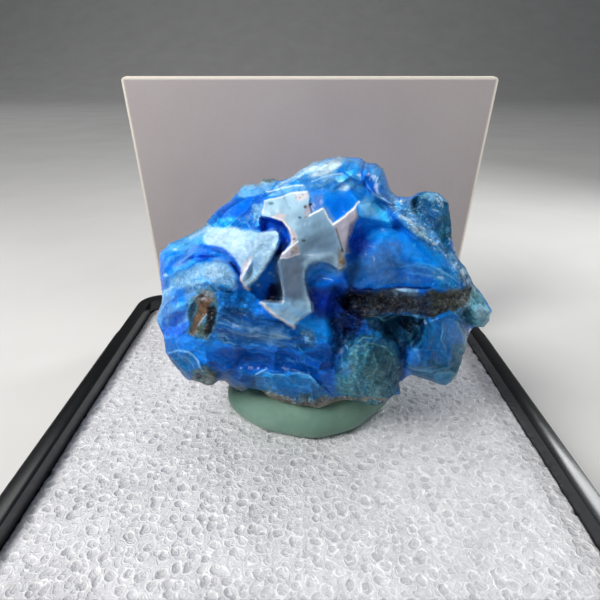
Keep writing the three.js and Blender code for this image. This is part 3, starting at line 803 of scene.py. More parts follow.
def cells(seed, u, v, lean=0.0):
    """Scattered bowls, one per lattice cell: the lowest bowl's height, the next one's, and a random
    value for the lowest. With lean above zero each bowl is tilted and set higher or lower."""
    iu, iv = np.floor(u), np.floor(v)
    first = np.full(u.shape, 9.0)
    second = np.full(u.shape, 9.0)
    chance = np.zeros(u.shape)
    reach = 2 if lean else 1
    for ou in range(-reach, reach + 1):
        for ov in range(-reach, reach + 1):
            cu, cv = iu + ou, iv + ov
            right, down = scatter(seed + 5, cu, cv), scatter(seed + 9, cu, cv)
            du = u - cu - scatter(seed, cu, cv)
            dv = v - cv - scatter(seed + 2, cu, cv)
            bowl = du * du + dv * dv + lean * ((right - 0.5) * du + (down - 0.5) * dv + 0.3 * (right - down))
            lower = bowl < first
            second = np.where(lower, first, np.minimum(second, bowl))
            chance = np.where(lower, right, chance)
            first = np.where(lower, bowl, first)
    return first, second, chance


def chips(number, px, py):
    """One list entry of broken scoops: share of the zone, bowl height, edge share and random value."""
    outline, size, stretch, angle, *_ = CHIPS[number]
    if outline is None:
        share = 1 - zone_share([PALE_BAND, AZURE_FACET, TOP_KNOB, SECOND_KNOB], px, py, 6)
    else:
        share = share_inside(outline, px, py, 6)
    within = share > 0
    x, y = px[within], py[within]
    along, across = along_across(x, y, angle)
    warp_u = 0.22 * fractal(200 + number, size * 1.6, x, y, octaves=3)
    warp_v = 0.22 * fractal(230 + number, size * 1.6, x, y, octaves=3)
    u = along / (size * stretch) + warp_u
    v = across / size + warp_v
    first, second, lot = cells(260 + 7 * number, u, v, lean=0.9)
    bowl, edge, chance = np.full(px.shape, 0.25), np.zeros(px.shape), np.full(px.shape, 0.5)
    bowl[within] = first
    edge[within] = smooth_step(1 - (second - first) / 0.16)
    chance[within] = lot
    return share, bowl, edge, chance


def front_rise(px, py, from_centre):
    """The front's rise towards the viewpoint, in mm."""
    rise = np.full(px.shape, FRONT_BULGE)
    for outline, height, edge, tilt_right, tilt_down in FACES:
        share = share_inside(outline, px, py, edge)
        middle = np.mean(np.array(outline, float), axis=0)
        lean = (tilt_right * (px - middle[0]) + tilt_down * (py - middle[1])) / 100
        rise += share * (height + lean)
    for x, y, along_size, across_size, turn, height in LUMPS:
        along, across = along_across(px - x, py - y, turn)
        rise += height * np.maximum(0, 1 - (along / along_size) ** 2 - (across / across_size) ** 2) ** 2
    for number, (*_, height, _) in enumerate(CHIPS):
        share, bowl, _, _ = chips(number, px, py)
        rise += share * height * (bowl - 0.25)
    rise += 0.10 * fractal(1, 26, px, py, octaves=3) + 0.03 * fractal(2, 9, px, py, octaves=3)
    return rise * np.sqrt(np.maximum(0, 1 - from_centre ** 4))


def back_depth(px, py, from_centre):
    """How deep the stone is behind its outline's plane, in mm."""
    x = (px - SHEET_CENTRE) * STEPS_TO_MM
    y = (SHEET_CENTRE - py) * STEPS_TO_MM
    depth = np.full(px.shape, BACK_BULGE)
    for centre_depth, right, up in BACK_FACES:
        depth = np.minimum(depth, centre_depth + right * x + up * y)
    depth += 0.3 * value_noise(3, 2.4, x, y) + 0.14 * fractal(4, 1.1, x, y, octaves=3)
    return depth * np.sqrt(np.maximum(0, 1 - from_centre ** 4))


def place_on_stone(px, py, front, from_centre):
    """Points of the outline's plane as seen through the sheet, moved out to the stone's surface."""
    x = px - SHEET_CENTRE
    y = SHEET_CENTRE - py
    up = np.array([0, math.sin(VIEW_PITCH), math.cos(VIEW_PITCH)])
    level = np.array([0, math.cos(VIEW_PITCH), -math.sin(VIEW_PITCH)])
    sight = x[:, None] * np.array([1.0, 0, 0]) + y[:, None] * up + SHEET_STEPS * level
    plane = np.array([0, math.cos(STANCE_LEAN), -math.sin(STANCE_LEAN)])
    reach = ((STANCE_FOOT - VIEWPOINT) @ plane) / (sight @ plane)
    point = VIEWPOINT + sight * reach[:, None]
    sight /= np.linalg.norm(sight, axis=1)[:, None]
    slope = np.tan(VIEW_PITCH - np.arctan(np.maximum(0, y) / SHEET_STEPS))
    slope *= 1 - smooth_step((-y - UNDERSIDE_START) / UNDERSIDE_HEIGHT)
    away = np.stack([x / SHEET_STEPS, np.ones_like(x), -slope], -1)
    away /= np.linalg.norm(away, axis=1)[:, None]
    forward = point - sight * (front_rise(px, py, from_centre) * MM)[:, None]
    backward = point + away * (back_depth(px, py, from_centre) * MM)[:, None]
    return np.where(front[:, None], forward, backward)


def stone_grid():
    """Front and back ring grids over the outline, the back with half as many rings, sewn at the rim."""
    angle, ring, triangles = ring_grid(FRONT_RINGS)
    back_rings = FRONT_RINGS // 2
    back_angle, back_ring, back_triangles = ring_grid(back_rings - 1)
    shift = len(angle)
    rim = first_of_ring(FRONT_RINGS)
    last_back = shift + first_of_ring(back_rings - 1)
    joint = sewn(last_back, 6 * (back_rings - 1), rim, 6 * FRONT_RINGS)
    flipped = [(a + shift, c + shift, b + shift) for a, b, c in back_triangles]
    faces = triangles + flipped + [(a, c, b) for a, b, c in joint]
    t = np.concatenate([ring / FRONT_RINGS, back_ring / back_rings])
    from_centre = 1.15 * t - 0.15 * t ** 6
    angle = np.concatenate([angle, back_angle])
    front = np.arange(len(t)) < shift
    exact, eased = outline_reach(angle)
    reach = eased + (exact - eased) * smooth_step((from_centre - 0.5) / 0.5)
    rim_x, rim_y = exact * np.cos(angle), exact * np.sin(angle)
    chipped = 0.9 * fractal(5, 9.0, rim_x, rim_y, octaves=3) * from_centre ** 3
    reach = reach * from_centre + chipped
    px = STONE_CENTRE[0] + reach * np.cos(angle)
    py = STONE_CENTRE[1] - reach * np.sin(angle)
    return px, py, front, from_centre, faces


# The stone's hues, as the eye sees them
HUES = {name: np.array(hex_colour(code)[:3]) ** (1 / 2.2) for name, code in {
    "ice": "#dcf0fb", "frost": "#bfe0f6", "sky": "#8cc4f2", "light": "#5ab0f2", "azure": "#0f86f0",
    "bright": "#026ee8", "royal": "#0556d0", "deep": "#0047a2", "ultramarine": "#0628b4", "ink": "#050d38",
    "black": "#05060a", "band_light": "#aed2e8", "band": "#7b9db8", "band_dark": "#4c6178",
    "cream": "#dcd2d6", "pink_grey": "#aba3b3", "lilac": "#6284cc", "silk": "#4f74a8", "steel": "#3676b8",
    "teal": "#17607c", "teal_dark": "#0b3144", "teal_grey": "#3f6c78", "sea": "#7fb5b2", "brown": "#3b3733",
    "olive": "#5a5f48", "rust": "#8a5328", "crust": "#8b8378", "white": "#ffffff", "frost_grey": "#8fb4cf",
    "slate": "#064a90", "marine": "#0066b8", "lagoon": "#0872b2", "mist": "#a8c4d8", "cyan": "#46c8f8",
    "moss": "#3a4a3c", "stone_grey": "#6a625c", "vivid": "#0a9cff",
}.items()}

# Colour areas of the front: outline, hue, strength, softness of the edge and raggedness, in steps
AREAS = [
    # Upper left slope
    ([(150, 300), (150, 240), (186, 230), (206, 219), (226, 200), (240, 180), (262, 178), (270, 195),
      (262, 222), (240, 228), (205, 232), (205, 262), (180, 275), (166, 298)], "azure", 0.9, 5, 2),
    ([(160, 253), (170, 242), (186, 235), (206, 222), (213, 226), (204, 240), (190, 250), (176, 252),
      (164, 262)], "light", 0.8, 3, 1.5),
    # Painted highlight along the upper left edge.
    ([(184, 237), (206, 223), (214, 225), (206, 233), (192, 240)], "frost", 0.8, 2.5, 1.2),
    ([(161, 254), (180, 250), (186, 256), (174, 268), (170, 285), (163, 293), (157, 290), (158, 262)],
     "bright", 0.9, 2, 1.2),
    ([(172, 268), (184, 256), (195, 244), (201, 244), (196, 254), (184, 266), (176, 272)],
     "lilac", 0.7, 2, 1.5),
    ([(176, 273), (190, 262), (202, 243), (209, 250), (209, 260), (196, 264), (182, 272)],
     "bright", 0.9, 1.5, 1),
    ([(196, 262), (201, 244), (208, 250), (209, 259)], "royal", 0.85, 2, 1),
    ([(210, 222), (214, 212), (230, 209), (262, 213), (266, 228), (240, 228), (212, 227)],
     "azure", 0.9, 2, 1.5),
    ([(213, 217), (226, 206), (243, 198), (262, 195), (267, 189), (269, 196), (256, 208), (252, 216),
      (234, 217)], "royal", 0.9, 2, 1.5),
    ([(226, 205), (244, 197), (262, 195), (266, 191), (262, 200), (248, 208), (234, 213), (226, 212)],
     "bright", 0.55, 3, 1.5),
    ([(238, 192), (243, 184), (262, 181), (278, 182), (270, 190), (262, 195), (246, 198), (240, 198)],
     "sky", 0.85, 1.6, 1.2),
    ([(243, 183), (262, 180), (276, 182), (262, 186), (246, 188)], "frost", 0.6, 1.6, 1),
    ([(250, 207), (262, 203), (264, 216), (262, 224), (252, 220)], "sky", 0.8, 2, 2),
    (BLUE_NOTCH, "royal", 0.95, 1.6, 0.8),
    ([(278, 247), (290, 241), (287, 249), (278, 257)], "lilac", 0.75, 1.5, 0.8),
    ([(274, 285), (280, 262), (284, 262), (285, 300), (262, 302), (256, 294)], "royal", 0.9, 3, 1.5),
    (DEEP_HOLLOW, "azure", 0.75, 2, 1.2),
    # Painted shade at the bottom of the hollow.
    ([(272, 284), (284, 282), (285, 303), (264, 303)], "ink", 0.99, 3, 1.5),
    ([(276, 292), (285, 288), (286, 303), (270, 303)], "black", 0.8, 3, 1.5),
    ([(249, 276), (257, 271), (261, 277), (259, 287), (252, 290)], "teal", 0.35, 2.5, 1.5),
    # Lump under the patch, and the patch itself
    (LEFT_LUMP, "sky", 0.8, 3, 2.5),
    ([(205, 266), (225, 264), (237, 272), (236, 284), (220, 286), (206, 280)],
     "frost_grey", 0.55, 5, 2.5),
    ([(176, 282), (200, 268), (214, 264), (226, 268), (222, 278), (200, 276), (184, 284)],
     "frost", 0.4, 4, 2),
    (ROUGH_PATCH, "frost", 0.93, 2.2, 1.4),
    ([(205, 240), (210, 230), (236, 231), (250, 234), (250, 252), (240, 262), (228, 254), (212, 247)],
     "ice", 0.35, 5, 2),
    ([(250, 242), (268, 236), (280, 236), (278, 250), (268, 262), (258, 278), (248, 286), (244, 272)],
     "frost_grey", 0.5, 5, 2.5),
    ([(246, 262), (256, 258), (262, 262), (258, 270), (248, 274)], "steel", 0.25, 4, 2),
    ([(243, 280), (252, 284), (250, 291), (244, 287)], "frost_grey", 0.6, 1.5, 1),
    # Left face
    ([(156, 296), (172, 288), (190, 286), (206, 284), (222, 290), (216, 310), (206, 342), (190, 345),
      (168, 344), (158, 326)], "bright", 0.75, 4, 2),
    ([(157, 292), (176, 286), (192, 282), (206, 283), (196, 292), (180, 292), (168, 300), (160, 312)],
     "sky", 0.6, 3, 2.5),
    ([(176, 290), (190, 288), (194, 296), (186, 300), (176, 298)], "bright", 0.85, 2.5, 1.5),
    ([(168, 304), (184, 302), (186, 308), (172, 313)], "light", 0.75, 2.5, 1.5),
    ([(164, 317), (185, 316), (188, 330), (180, 338), (166, 336)], "royal", 0.75, 3, 1.5),
    ([(155, 305), (161, 303), (164, 316), (162, 330), (156, 326)], "light", 0.75, 2, 1),
    ([(214, 286), (250, 290), (252, 304), (236, 312), (214, 316)], "marine", 0.5, 4, 3),
    ([(184, 290), (196, 286), (214, 286), (222, 300), (220, 322), (212, 342), (196, 344), (187, 330),
      (185, 306)], "steel", 0.55, 4, 2.5),
    ([(184, 286), (200, 283), (216, 288), (212, 296), (196, 296), (188, 302)], "frost_grey", 0.35, 3, 2),
    ([(160, 304), (170, 300), (176, 312), (168, 322), (160, 318)], "steel", 0.5, 3, 2),
    ([(220, 286), (246, 288), (262, 302), (256, 312), (238, 310), (222, 300)], "marine", 0.65, 4, 3),
    ([(188, 300), (196, 296), (196, 290), (213, 288), (219, 304), (217, 318), (212, 334), (207, 341),
      (196, 340), (189, 332)], "teal_grey", 0.7, 2, 1.2),
    ([(194, 297), (203, 289), (214, 294), (216, 304), (206, 302), (197, 304)], "crust", 0.8, 1.5, 1.5),
    ([(199, 300), (209, 298), (211, 303), (208, 310), (203, 320), (199, 330), (196, 338), (191, 333),
      (193, 322), (197, 310)], "rust", 0.75, 1.2, 0.8),
    ([(207, 308), (214, 306), (217, 310), (214, 322), (210, 332), (206, 339), (204, 330), (206, 320)],
     "black", 0.95, 1.2, 0.8),
    ([(197, 327), (205, 323), (206, 336), (199, 340)], "moss", 0.8, 1.5, 0.8),
    # Silky mass across the middle
    ([(214, 322), (226, 310), (250, 312), (275, 320), (300, 333), (314, 345), (298, 350), (262, 347),
      (235, 347), (218, 340)], "slate", 0.95, 3, 2),
    ([(230, 318), (256, 320), (282, 328), (300, 338), (286, 346), (250, 342), (232, 334)],
     "silk", 0.35, 5, 2.5),
    ([(266, 327), (286, 330), (290, 339), (270, 339)], "frost_grey", 0.7, 3.5, 1.5),
    ([(286, 320), (298, 312), (312, 306), (330, 312), (342, 320), (338, 340), (316, 341), (300, 334)],
     "vivid", 0.7, 4, 2),
    ([(302, 331), (312, 332), (316, 341), (306, 343)], "frost", 0.6, 2, 2),
    ([(202, 342), (212, 338), (216, 350), (206, 356)], "marine", 0.7, 3, 2),
    # Lower left and the deep blue belt
    ([(162, 336), (180, 332), (206, 340), (208, 352), (196, 362), (172, 362), (164, 350)],
     "azure", 0.65, 3, 2),
    ([(170, 352), (192, 350), (204, 366), (198, 380), (184, 380), (172, 368)], "slate", 0.8, 2.5, 1.5),
    ([(172, 356), (190, 356), (196, 372), (184, 378), (174, 368)], "teal", 0.45, 4, 2),
    ([(193, 370), (206, 366), (218, 372), (219, 380), (212, 386), (202, 384), (194, 380)],
     "olive", 0.85, 2, 1.5),
    ([(200, 375), (216, 373), (218, 383), (206, 386)], "crust", 0.5, 2, 1.5),
    ([(208, 348), (240, 349), (270, 351), (300, 352), (322, 348), (340, 346), (338, 372), (310, 374),
      (284, 372), (262, 368), (238, 374), (214, 370), (204, 358)], "deep", 0.88, 3, 2),
    ([(218, 370), (240, 370), (262, 372), (258, 388), (240, 390), (220, 382)], "slate", 0.85, 3, 2),
    (LOWER_FLAKE, "lagoon", 0.72, 2, 1.5),
    ([(270, 384), (300, 386), (318, 394), (300, 399), (276, 394)], "slate", 0.65, 3, 2),
    ([(296, 393), (311, 392), (312, 401), (298, 400)], "moss", 0.6, 2, 1),
    ([(254, 386), (272, 391), (286, 396), (300, 398.5), (316, 399.5), (332, 396), (350, 393), (372, 391),
      (388, 394), (382, 408), (350, 412), (300, 412), (266, 400)], "crust", 0.95, 2, 1.5),
    ([(254, 389), (270, 393), (286, 398), (304, 401), (330, 398), (350, 395), (372, 393), (386, 396),
      (380, 410), (340, 412), (300, 412), (264, 402)], "stone_grey", 0.8, 2, 1.5),
    ([(237, 383), (246, 384), (246, 391), (238, 391)], "brown", 0.7, 1.5, 1),
    # Top
    ([(264, 196), (276, 186), (290, 178), (300, 170), (314, 160), (328, 156), (343, 155), (366, 160),
      (386, 166), (400, 200), (380, 224), (350, 214), (322, 212), (308, 196), (288, 194)],
     "azure", 0.9, 4, 2),
    ([(274, 188), (290, 177), (300, 169), (314, 161), (328, 157), (344, 156), (340, 166), (336, 173),
      (350, 176), (353, 186), (345, 191), (318, 190), (305, 187), (280, 190)], "sky", 0.85, 2.5, 1.5),
    ([(302, 172), (314, 161), (330, 157), (344, 156), (341, 166), (332, 172), (312, 178)],
     "ice", 0.85, 2, 1.2),
    ([(290, 184), (305, 178), (322, 177), (322, 184), (305, 187), (294, 187)], "azure", 0.7, 2, 1.5),
    ([(310, 188), (325, 182), (345, 180), (348, 186), (336, 191), (318, 191)], "azure", 0.65, 2, 1.5),
    ([(338, 181), (352, 179), (353, 189), (344, 192), (339, 188)], "frost", 0.7, 1.8, 1.5),
    ([(266, 193), (285, 188), (305, 186), (308, 190), (296, 192), (270, 197)], "sky", 0.7, 1.5, 1),
    (TOP_KNOB, "light", 0.85, 1.4, 0.8),
    ([(344, 170), (360, 168), (366, 178), (362, 188), (350, 188), (343, 180)], "vivid", 0.8, 3, 1),
    # Painted light: paler over the slope below the top knob, which lies in shade.
    ([(347, 176), (361, 175), (367, 184), (360, 193), (349, 189)], "sky", 0.42, 3, 1),
    ([(343, 160), (352, 159), (354, 176), (346, 173), (341, 167)], "azure", 0.6, 3, 1.5),
    ([(356, 158), (365, 166), (368, 174), (361, 182), (358, 172)], "lilac", 0.35, 3, 1),
    (SECOND_KNOB, "azure", 0.9, 1.6, 1),
    # Painted shade in the notch between the two knobs.
    ([(364, 176), (372, 174), (374, 190), (380, 197), (370, 193)], "royal", 0.8, 2, 1.2),
    ([(370, 170), (384, 168), (386, 184), (378, 188), (372, 182)], "light", 0.6, 2.5, 1.2),
    (AZURE_FACET, "azure", 0.97, 1.2, 0.5),
    ([(326, 200), (345, 196), (352, 200), (345, 214), (333, 222), (328, 212)], "bright", 0.8, 4, 1),
    ([(309, 206), (313, 196), (324, 194), (322, 206), (313, 212)], "lilac", 0.8, 2, 0.8),
    ([(322, 206), (327, 206), (336, 218), (333, 223.5)], "lilac", 0.6, 1.5, 0.6),
    ([(358, 203), (366, 195), (379, 199), (391, 219), (393, 231), (380, 222), (360, 218)],
     "light", 0.8, 4.5, 1.5),
    ([(358, 204), (366, 198), (374, 204), (378, 214), (366, 216)], "sky", 0.5, 3, 1),
    ([(368, 198), (382, 202), (394, 222), (393, 231), (380, 222)], "vivid", 0.5, 3, 1),
    # Right face
    (RIGHT_FACE, "azure", 0.95, 2.5, 1.5),
    ([(350, 228), (366, 226), (376, 240), (366, 256), (352, 262), (345, 258), (347, 240)],
     "royal", 0.7, 5, 1.5),
    ([(352, 238), (366, 236), (370, 246), (358, 254), (350, 250)], "ultramarine", 0.6, 5, 1),
    ([(344, 258), (372, 252), (400, 258), (420, 266), (438, 270), (436, 286), (398, 289), (372, 291),
      (348, 290)], "deep", 0.7, 5, 2),
    ([(350, 268), (372, 262), (392, 270), (396, 284), (372, 290), (350, 288)], "slate", 0.4, 6, 2.5),
    ([(376, 246), (398, 242), (402, 252), (398, 268), (392, 286), (370, 286), (366, 264)],
     "silk", 0.45, 6, 2.5),
    ([(394, 268), (412, 268), (430, 274), (430, 286), (400, 287)], "royal", 0.45, 5, 2),
    ([(346, 276), (380, 278), (420, 282), (440, 284), (438, 290), (372, 292), (346, 291)],
     "deep", 0.5, 3, 2),
    ([(364, 218), (384, 222), (398, 226), (402, 238), (384, 242), (366, 236)], "vivid", 0.7, 4, 1.5),
    ([(396, 222), (410, 230), (420, 244), (414, 256), (402, 246), (396, 236)], "azure", 0.8, 4, 1.5),
    ([(402, 234), (424, 244), (442, 260), (434, 268), (414, 262), (402, 248)], "vivid", 0.75, 4, 1.5),
    ([(432, 268), (446, 266), (458, 280), (457, 289), (438, 288)], "lagoon", 0.7, 3, 2),
    # Druse strip, teal knob and the strip below it
    (TEAL_KNOB, "teal", 0.95, 2, 1),
    ([(428, 200), (446, 204), (449, 226), (440, 240), (428, 228)], "lagoon", 0.7, 3, 2),
    ([(436, 212), (450, 210), (453, 236), (446, 246), (436, 236)], "vivid", 0.35, 3, 1),
    ([(416, 200), (430, 200), (438, 214), (436, 230), (424, 224), (416, 214)], "slate", 0.7, 4, 2),
    ([(418, 198), (428, 191), (440, 194), (444, 200), (432, 202)], "sky", 0.75, 2.5, 2),
    ([(438, 216), (449, 212), (451, 236), (444, 246), (438, 236)], "teal", 0.8, 3, 1),
    ([(442, 240), (452, 240), (460, 258), (476, 282), (481, 298), (470, 294), (456, 276), (444, 258)],
     "lagoon", 0.75, 3, 2),
    (CREST, "light", 0.7, 2.5, 2),
    ([(404, 218), (420, 226), (432, 240), (426, 240), (412, 230)], "frost", 0.6, 2.5, 1.5),
    ([(396, 196), (412, 196), (412, 201), (402, 206), (396, 202)], "mist", 0.8, 1.8, 1.5),
    ([(404, 204), (414, 204), (418, 216), (410, 216)], "teal", 0.6, 2.5, 2),
    ([(452, 262), (462, 266), (474, 280), (480, 292), (468, 292), (456, 278)], "stone_grey", 0.5, 3, 2.5),
    # Granular ledge, and below it to the right
    (GRANULAR_LEDGE, "stone_grey", 0.8, 2.5, 2),
    # Painted shade under the overhang at the ledge's left end.
    ([(336, 288), (352, 287), (374, 292), (366, 300), (366, 320), (352, 340), (340, 348), (332, 330),
      (330, 300)], "ink", 0.85, 4, 2.5),
    ([(346, 293), (372, 296), (396, 298), (420, 300), (420, 308), (394, 310), (366, 312), (350, 306)],
     "brown", 0.6, 3, 2.5),
    ([(430, 292), (452, 290), (470, 288), (472, 300), (460, 309), (444, 314), (430, 314)],
     "olive", 0.75, 3, 2.5),
    ([(440, 292), (468, 289), (470, 302), (456, 310), (440, 312)], "crust", 0.4, 3, 2),
    ([(392, 288), (418, 289), (418, 295), (394, 297)], "frost_grey", 0.8, 1.5, 0.8),
    # Painted shade in the recess below the ledge.
    ([(366, 318), (392, 314), (424, 318), (424, 336), (410, 350), (396, 344), (374, 336)],
     "teal_dark", 0.85, 3, 2.5),
    ([(398, 328), (424, 328), (420, 348), (402, 352)], "marine", 0.5, 4, 2),
    ([(382, 334), (408, 332), (412, 350), (398, 356), (384, 346)], "teal", 0.4, 4, 2.5),
    (RIGHT_FLAKE, "sea", 0.8, 2, 1.2),
    ([(476, 308), (488, 306), (493, 318), (486, 328), (478, 322)], "mist", 0.45, 3, 2),
    ([(454, 312), (470, 310), (474, 322), (466, 326), (456, 320)], "teal", 0.8, 2.5, 2),
    (RIGHT_BLOCK, "marine", 0.92, 2, 1),
    # Painted shade under the block's overhang at its upper left.
    ([(404, 320), (424, 318), (430, 330), (424, 348), (408, 350), (402, 344)], "teal_dark", 0.75, 4, 2),
    ([(426, 326), (448, 324), (454, 346), (446, 364), (428, 364), (420, 346)], "marine", 0.7, 5, 2),
    ([(442, 322), (457, 317), (466, 329), (463, 348), (448, 350), (441, 338)], "steel", 0.75, 1.6, 1.2),
    ([(444, 326), (456, 324), (460, 340), (450, 346)], "lilac", 0.35, 4, 2),
    ([(414, 350), (446, 350), (450, 365), (416, 368)], "marine", 0.8, 1.6, 1.2),
    ([(408, 364), (430, 360), (450, 364), (454, 380), (444, 388), (412, 376)], "teal", 0.75, 3, 2),
    ([(452, 346), (464, 342), (464, 364), (456, 380), (448, 382)], "teal_grey", 0.75, 2.5, 1.5),
    ([(404, 346), (428, 346), (430, 366), (410, 366)], "slate", 0.75, 3, 1.5),
    ([(408, 350), (420, 350), (420, 360), (410, 360)], "lilac", 0.3, 3, 1.5),
    (TEAL_HUMP, "teal", 0.9, 3, 2),
    ([(346, 336), (384, 334), (396, 346), (380, 352), (352, 352)], "slate", 0.55, 4, 2),
    ([(364, 348), (384, 346), (386, 374), (384, 394), (370, 394), (366, 370)], "moss", 0.3, 5, 2.5),
    ([(364, 370), (386, 370), (392, 392), (368, 399)], "sea", 0.32, 4, 2.5),
    # Painted shade between the hump and the block.
    ([(396, 336), (408, 346), (406, 368), (401, 386), (393, 392), (398, 366)], "ink", 0.55, 4, 2),
    ([(352, 344), (376, 340), (392, 346), (398, 366), (392, 390), (368, 398), (350, 392), (346, 368)],
     "teal_grey", 0.35, 5, 2.5),
    ([(336, 361), (352, 360), (354, 374), (338, 376)], "steel", 0.8, 2.5, 1.5),
    ([(340, 363), (349, 362), (351, 371), (342, 373)], "light", 0.45, 2, 1.5),
    ([(332, 376), (352, 378), (354, 394), (334, 393)], "sea", 0.4, 3, 2),
    ([(334, 332), (350, 332), (350, 356), (336, 354)], "slate", 0.6, 3, 2),
    ([(384, 382), (404, 380), (400, 394), (386, 396)], "teal", 0.6, 3, 2),
    # Below the band: the eye and what is under it
    ([(300, 262), (322, 258), (345, 266), (348, 290), (340, 318), (312, 318), (304, 292), (302, 276)],
     "royal", 0.9, 2.5, 1),
    ([(304, 280), (344, 282), (344, 306), (330, 316), (312, 314), (308, 294)], "deep", 0.85, 4, 1.5),
    ([(306, 288), (342, 288), (344, 310), (334, 324), (314, 316)], "ink", 0.4, 5, 1.5),
    ([(308, 290), (340, 292), (338, 312), (314, 312)], "ultramarine", 0.5, 5, 1.5),
    ([(306, 268), (320, 264), (336, 270), (338, 282), (318, 286), (307, 282)], "azure", 0.45, 4, 1.5),
    ([(310, 268), (320, 265), (332, 269), (334, 277), (318, 280), (310, 277)], "sky", 0.25, 3, 1.5),
    # The pale band
    (PALE_BAND, "band_light", 0.98, 1.2, 0.4),
    ([(298, 216), (322, 210), (336, 224), (344, 250), (348, 268), (338, 274), (324, 264), (308, 266),
      (306, 292), (282, 302), (275, 276), (276, 256), (294, 250), (296, 234)], "band", 0.9, 7, 1),
    ([(300, 236), (334, 232), (341, 250), (330, 256), (308, 258), (296, 256)], "band_dark", 0.45, 8, 1),
    ([(277, 256), (304, 256), (306, 302), (280, 302)], "band_dark", 0.75, 6, 1),
    ([(284, 262), (300, 260), (300, 290), (288, 298)], "pink_grey", 0.3, 5, 1),
    ([(265, 304), (282, 303), (300, 302), (312, 308), (298, 320), (292, 326), (276, 316)],
     "band", 0.85, 4, 1),
    ([(283, 256), (303, 256), (304, 300), (284, 300)], "band_dark", 0.35, 5, 1),
    ([(302, 264), (312, 254), (330, 252), (344, 260), (340, 266), (326, 259), (312, 260), (305, 266)],
     "mist", 0.55, 2, 0.8),
    ([(271, 217), (279, 213.5), (287, 214.5), (284.5, 219), (288, 224.5), (293.5, 230.5), (297, 237),
      (295.5, 242), (291, 245), (290.5, 240), (289.5, 234), (286.5, 228), (281, 221.5)],
     "cream", 0.9, 1.1, 0.4),
    ([(285, 220), (290, 226), (295, 233), (296, 241), (292, 243), (291, 234), (287, 227)],
     "pink_grey", 0.45, 1.5, 0.5),
    ([(279, 256.5), (298, 241.5), (299.5, 253), (288, 257), (279, 258)], "pink_grey", 0.85, 1.2, 0.6),
    ([(291, 250), (298, 244), (299, 252), (290, 255)], "crust", 0.45, 2, 1.5),
    ([(294, 196), (307, 192.5), (309.5, 196), (304, 200.5), (298, 201.5)], "cream", 0.8, 1.5, 0.6),
    ([(333.5, 224), (356, 206), (358.5, 216), (353, 228.5), (349, 240), (350, 253), (344.5, 253),
      (340, 240), (336, 233)], "pink_grey", 0.9, 1.3, 0.6),
    ([(348, 238), (352, 230), (351, 252), (347, 253)], "slate", 0.4, 2, 0.8),
    ([(338.5, 248), (346.5, 262), (340, 269.5), (337, 264)], "crust", 0.85, 1.2, 0.8),
    ([(305, 205), (312, 204), (313, 212), (308, 217), (304, 214)], "pink_grey", 0.75, 1.6, 0.8),
]

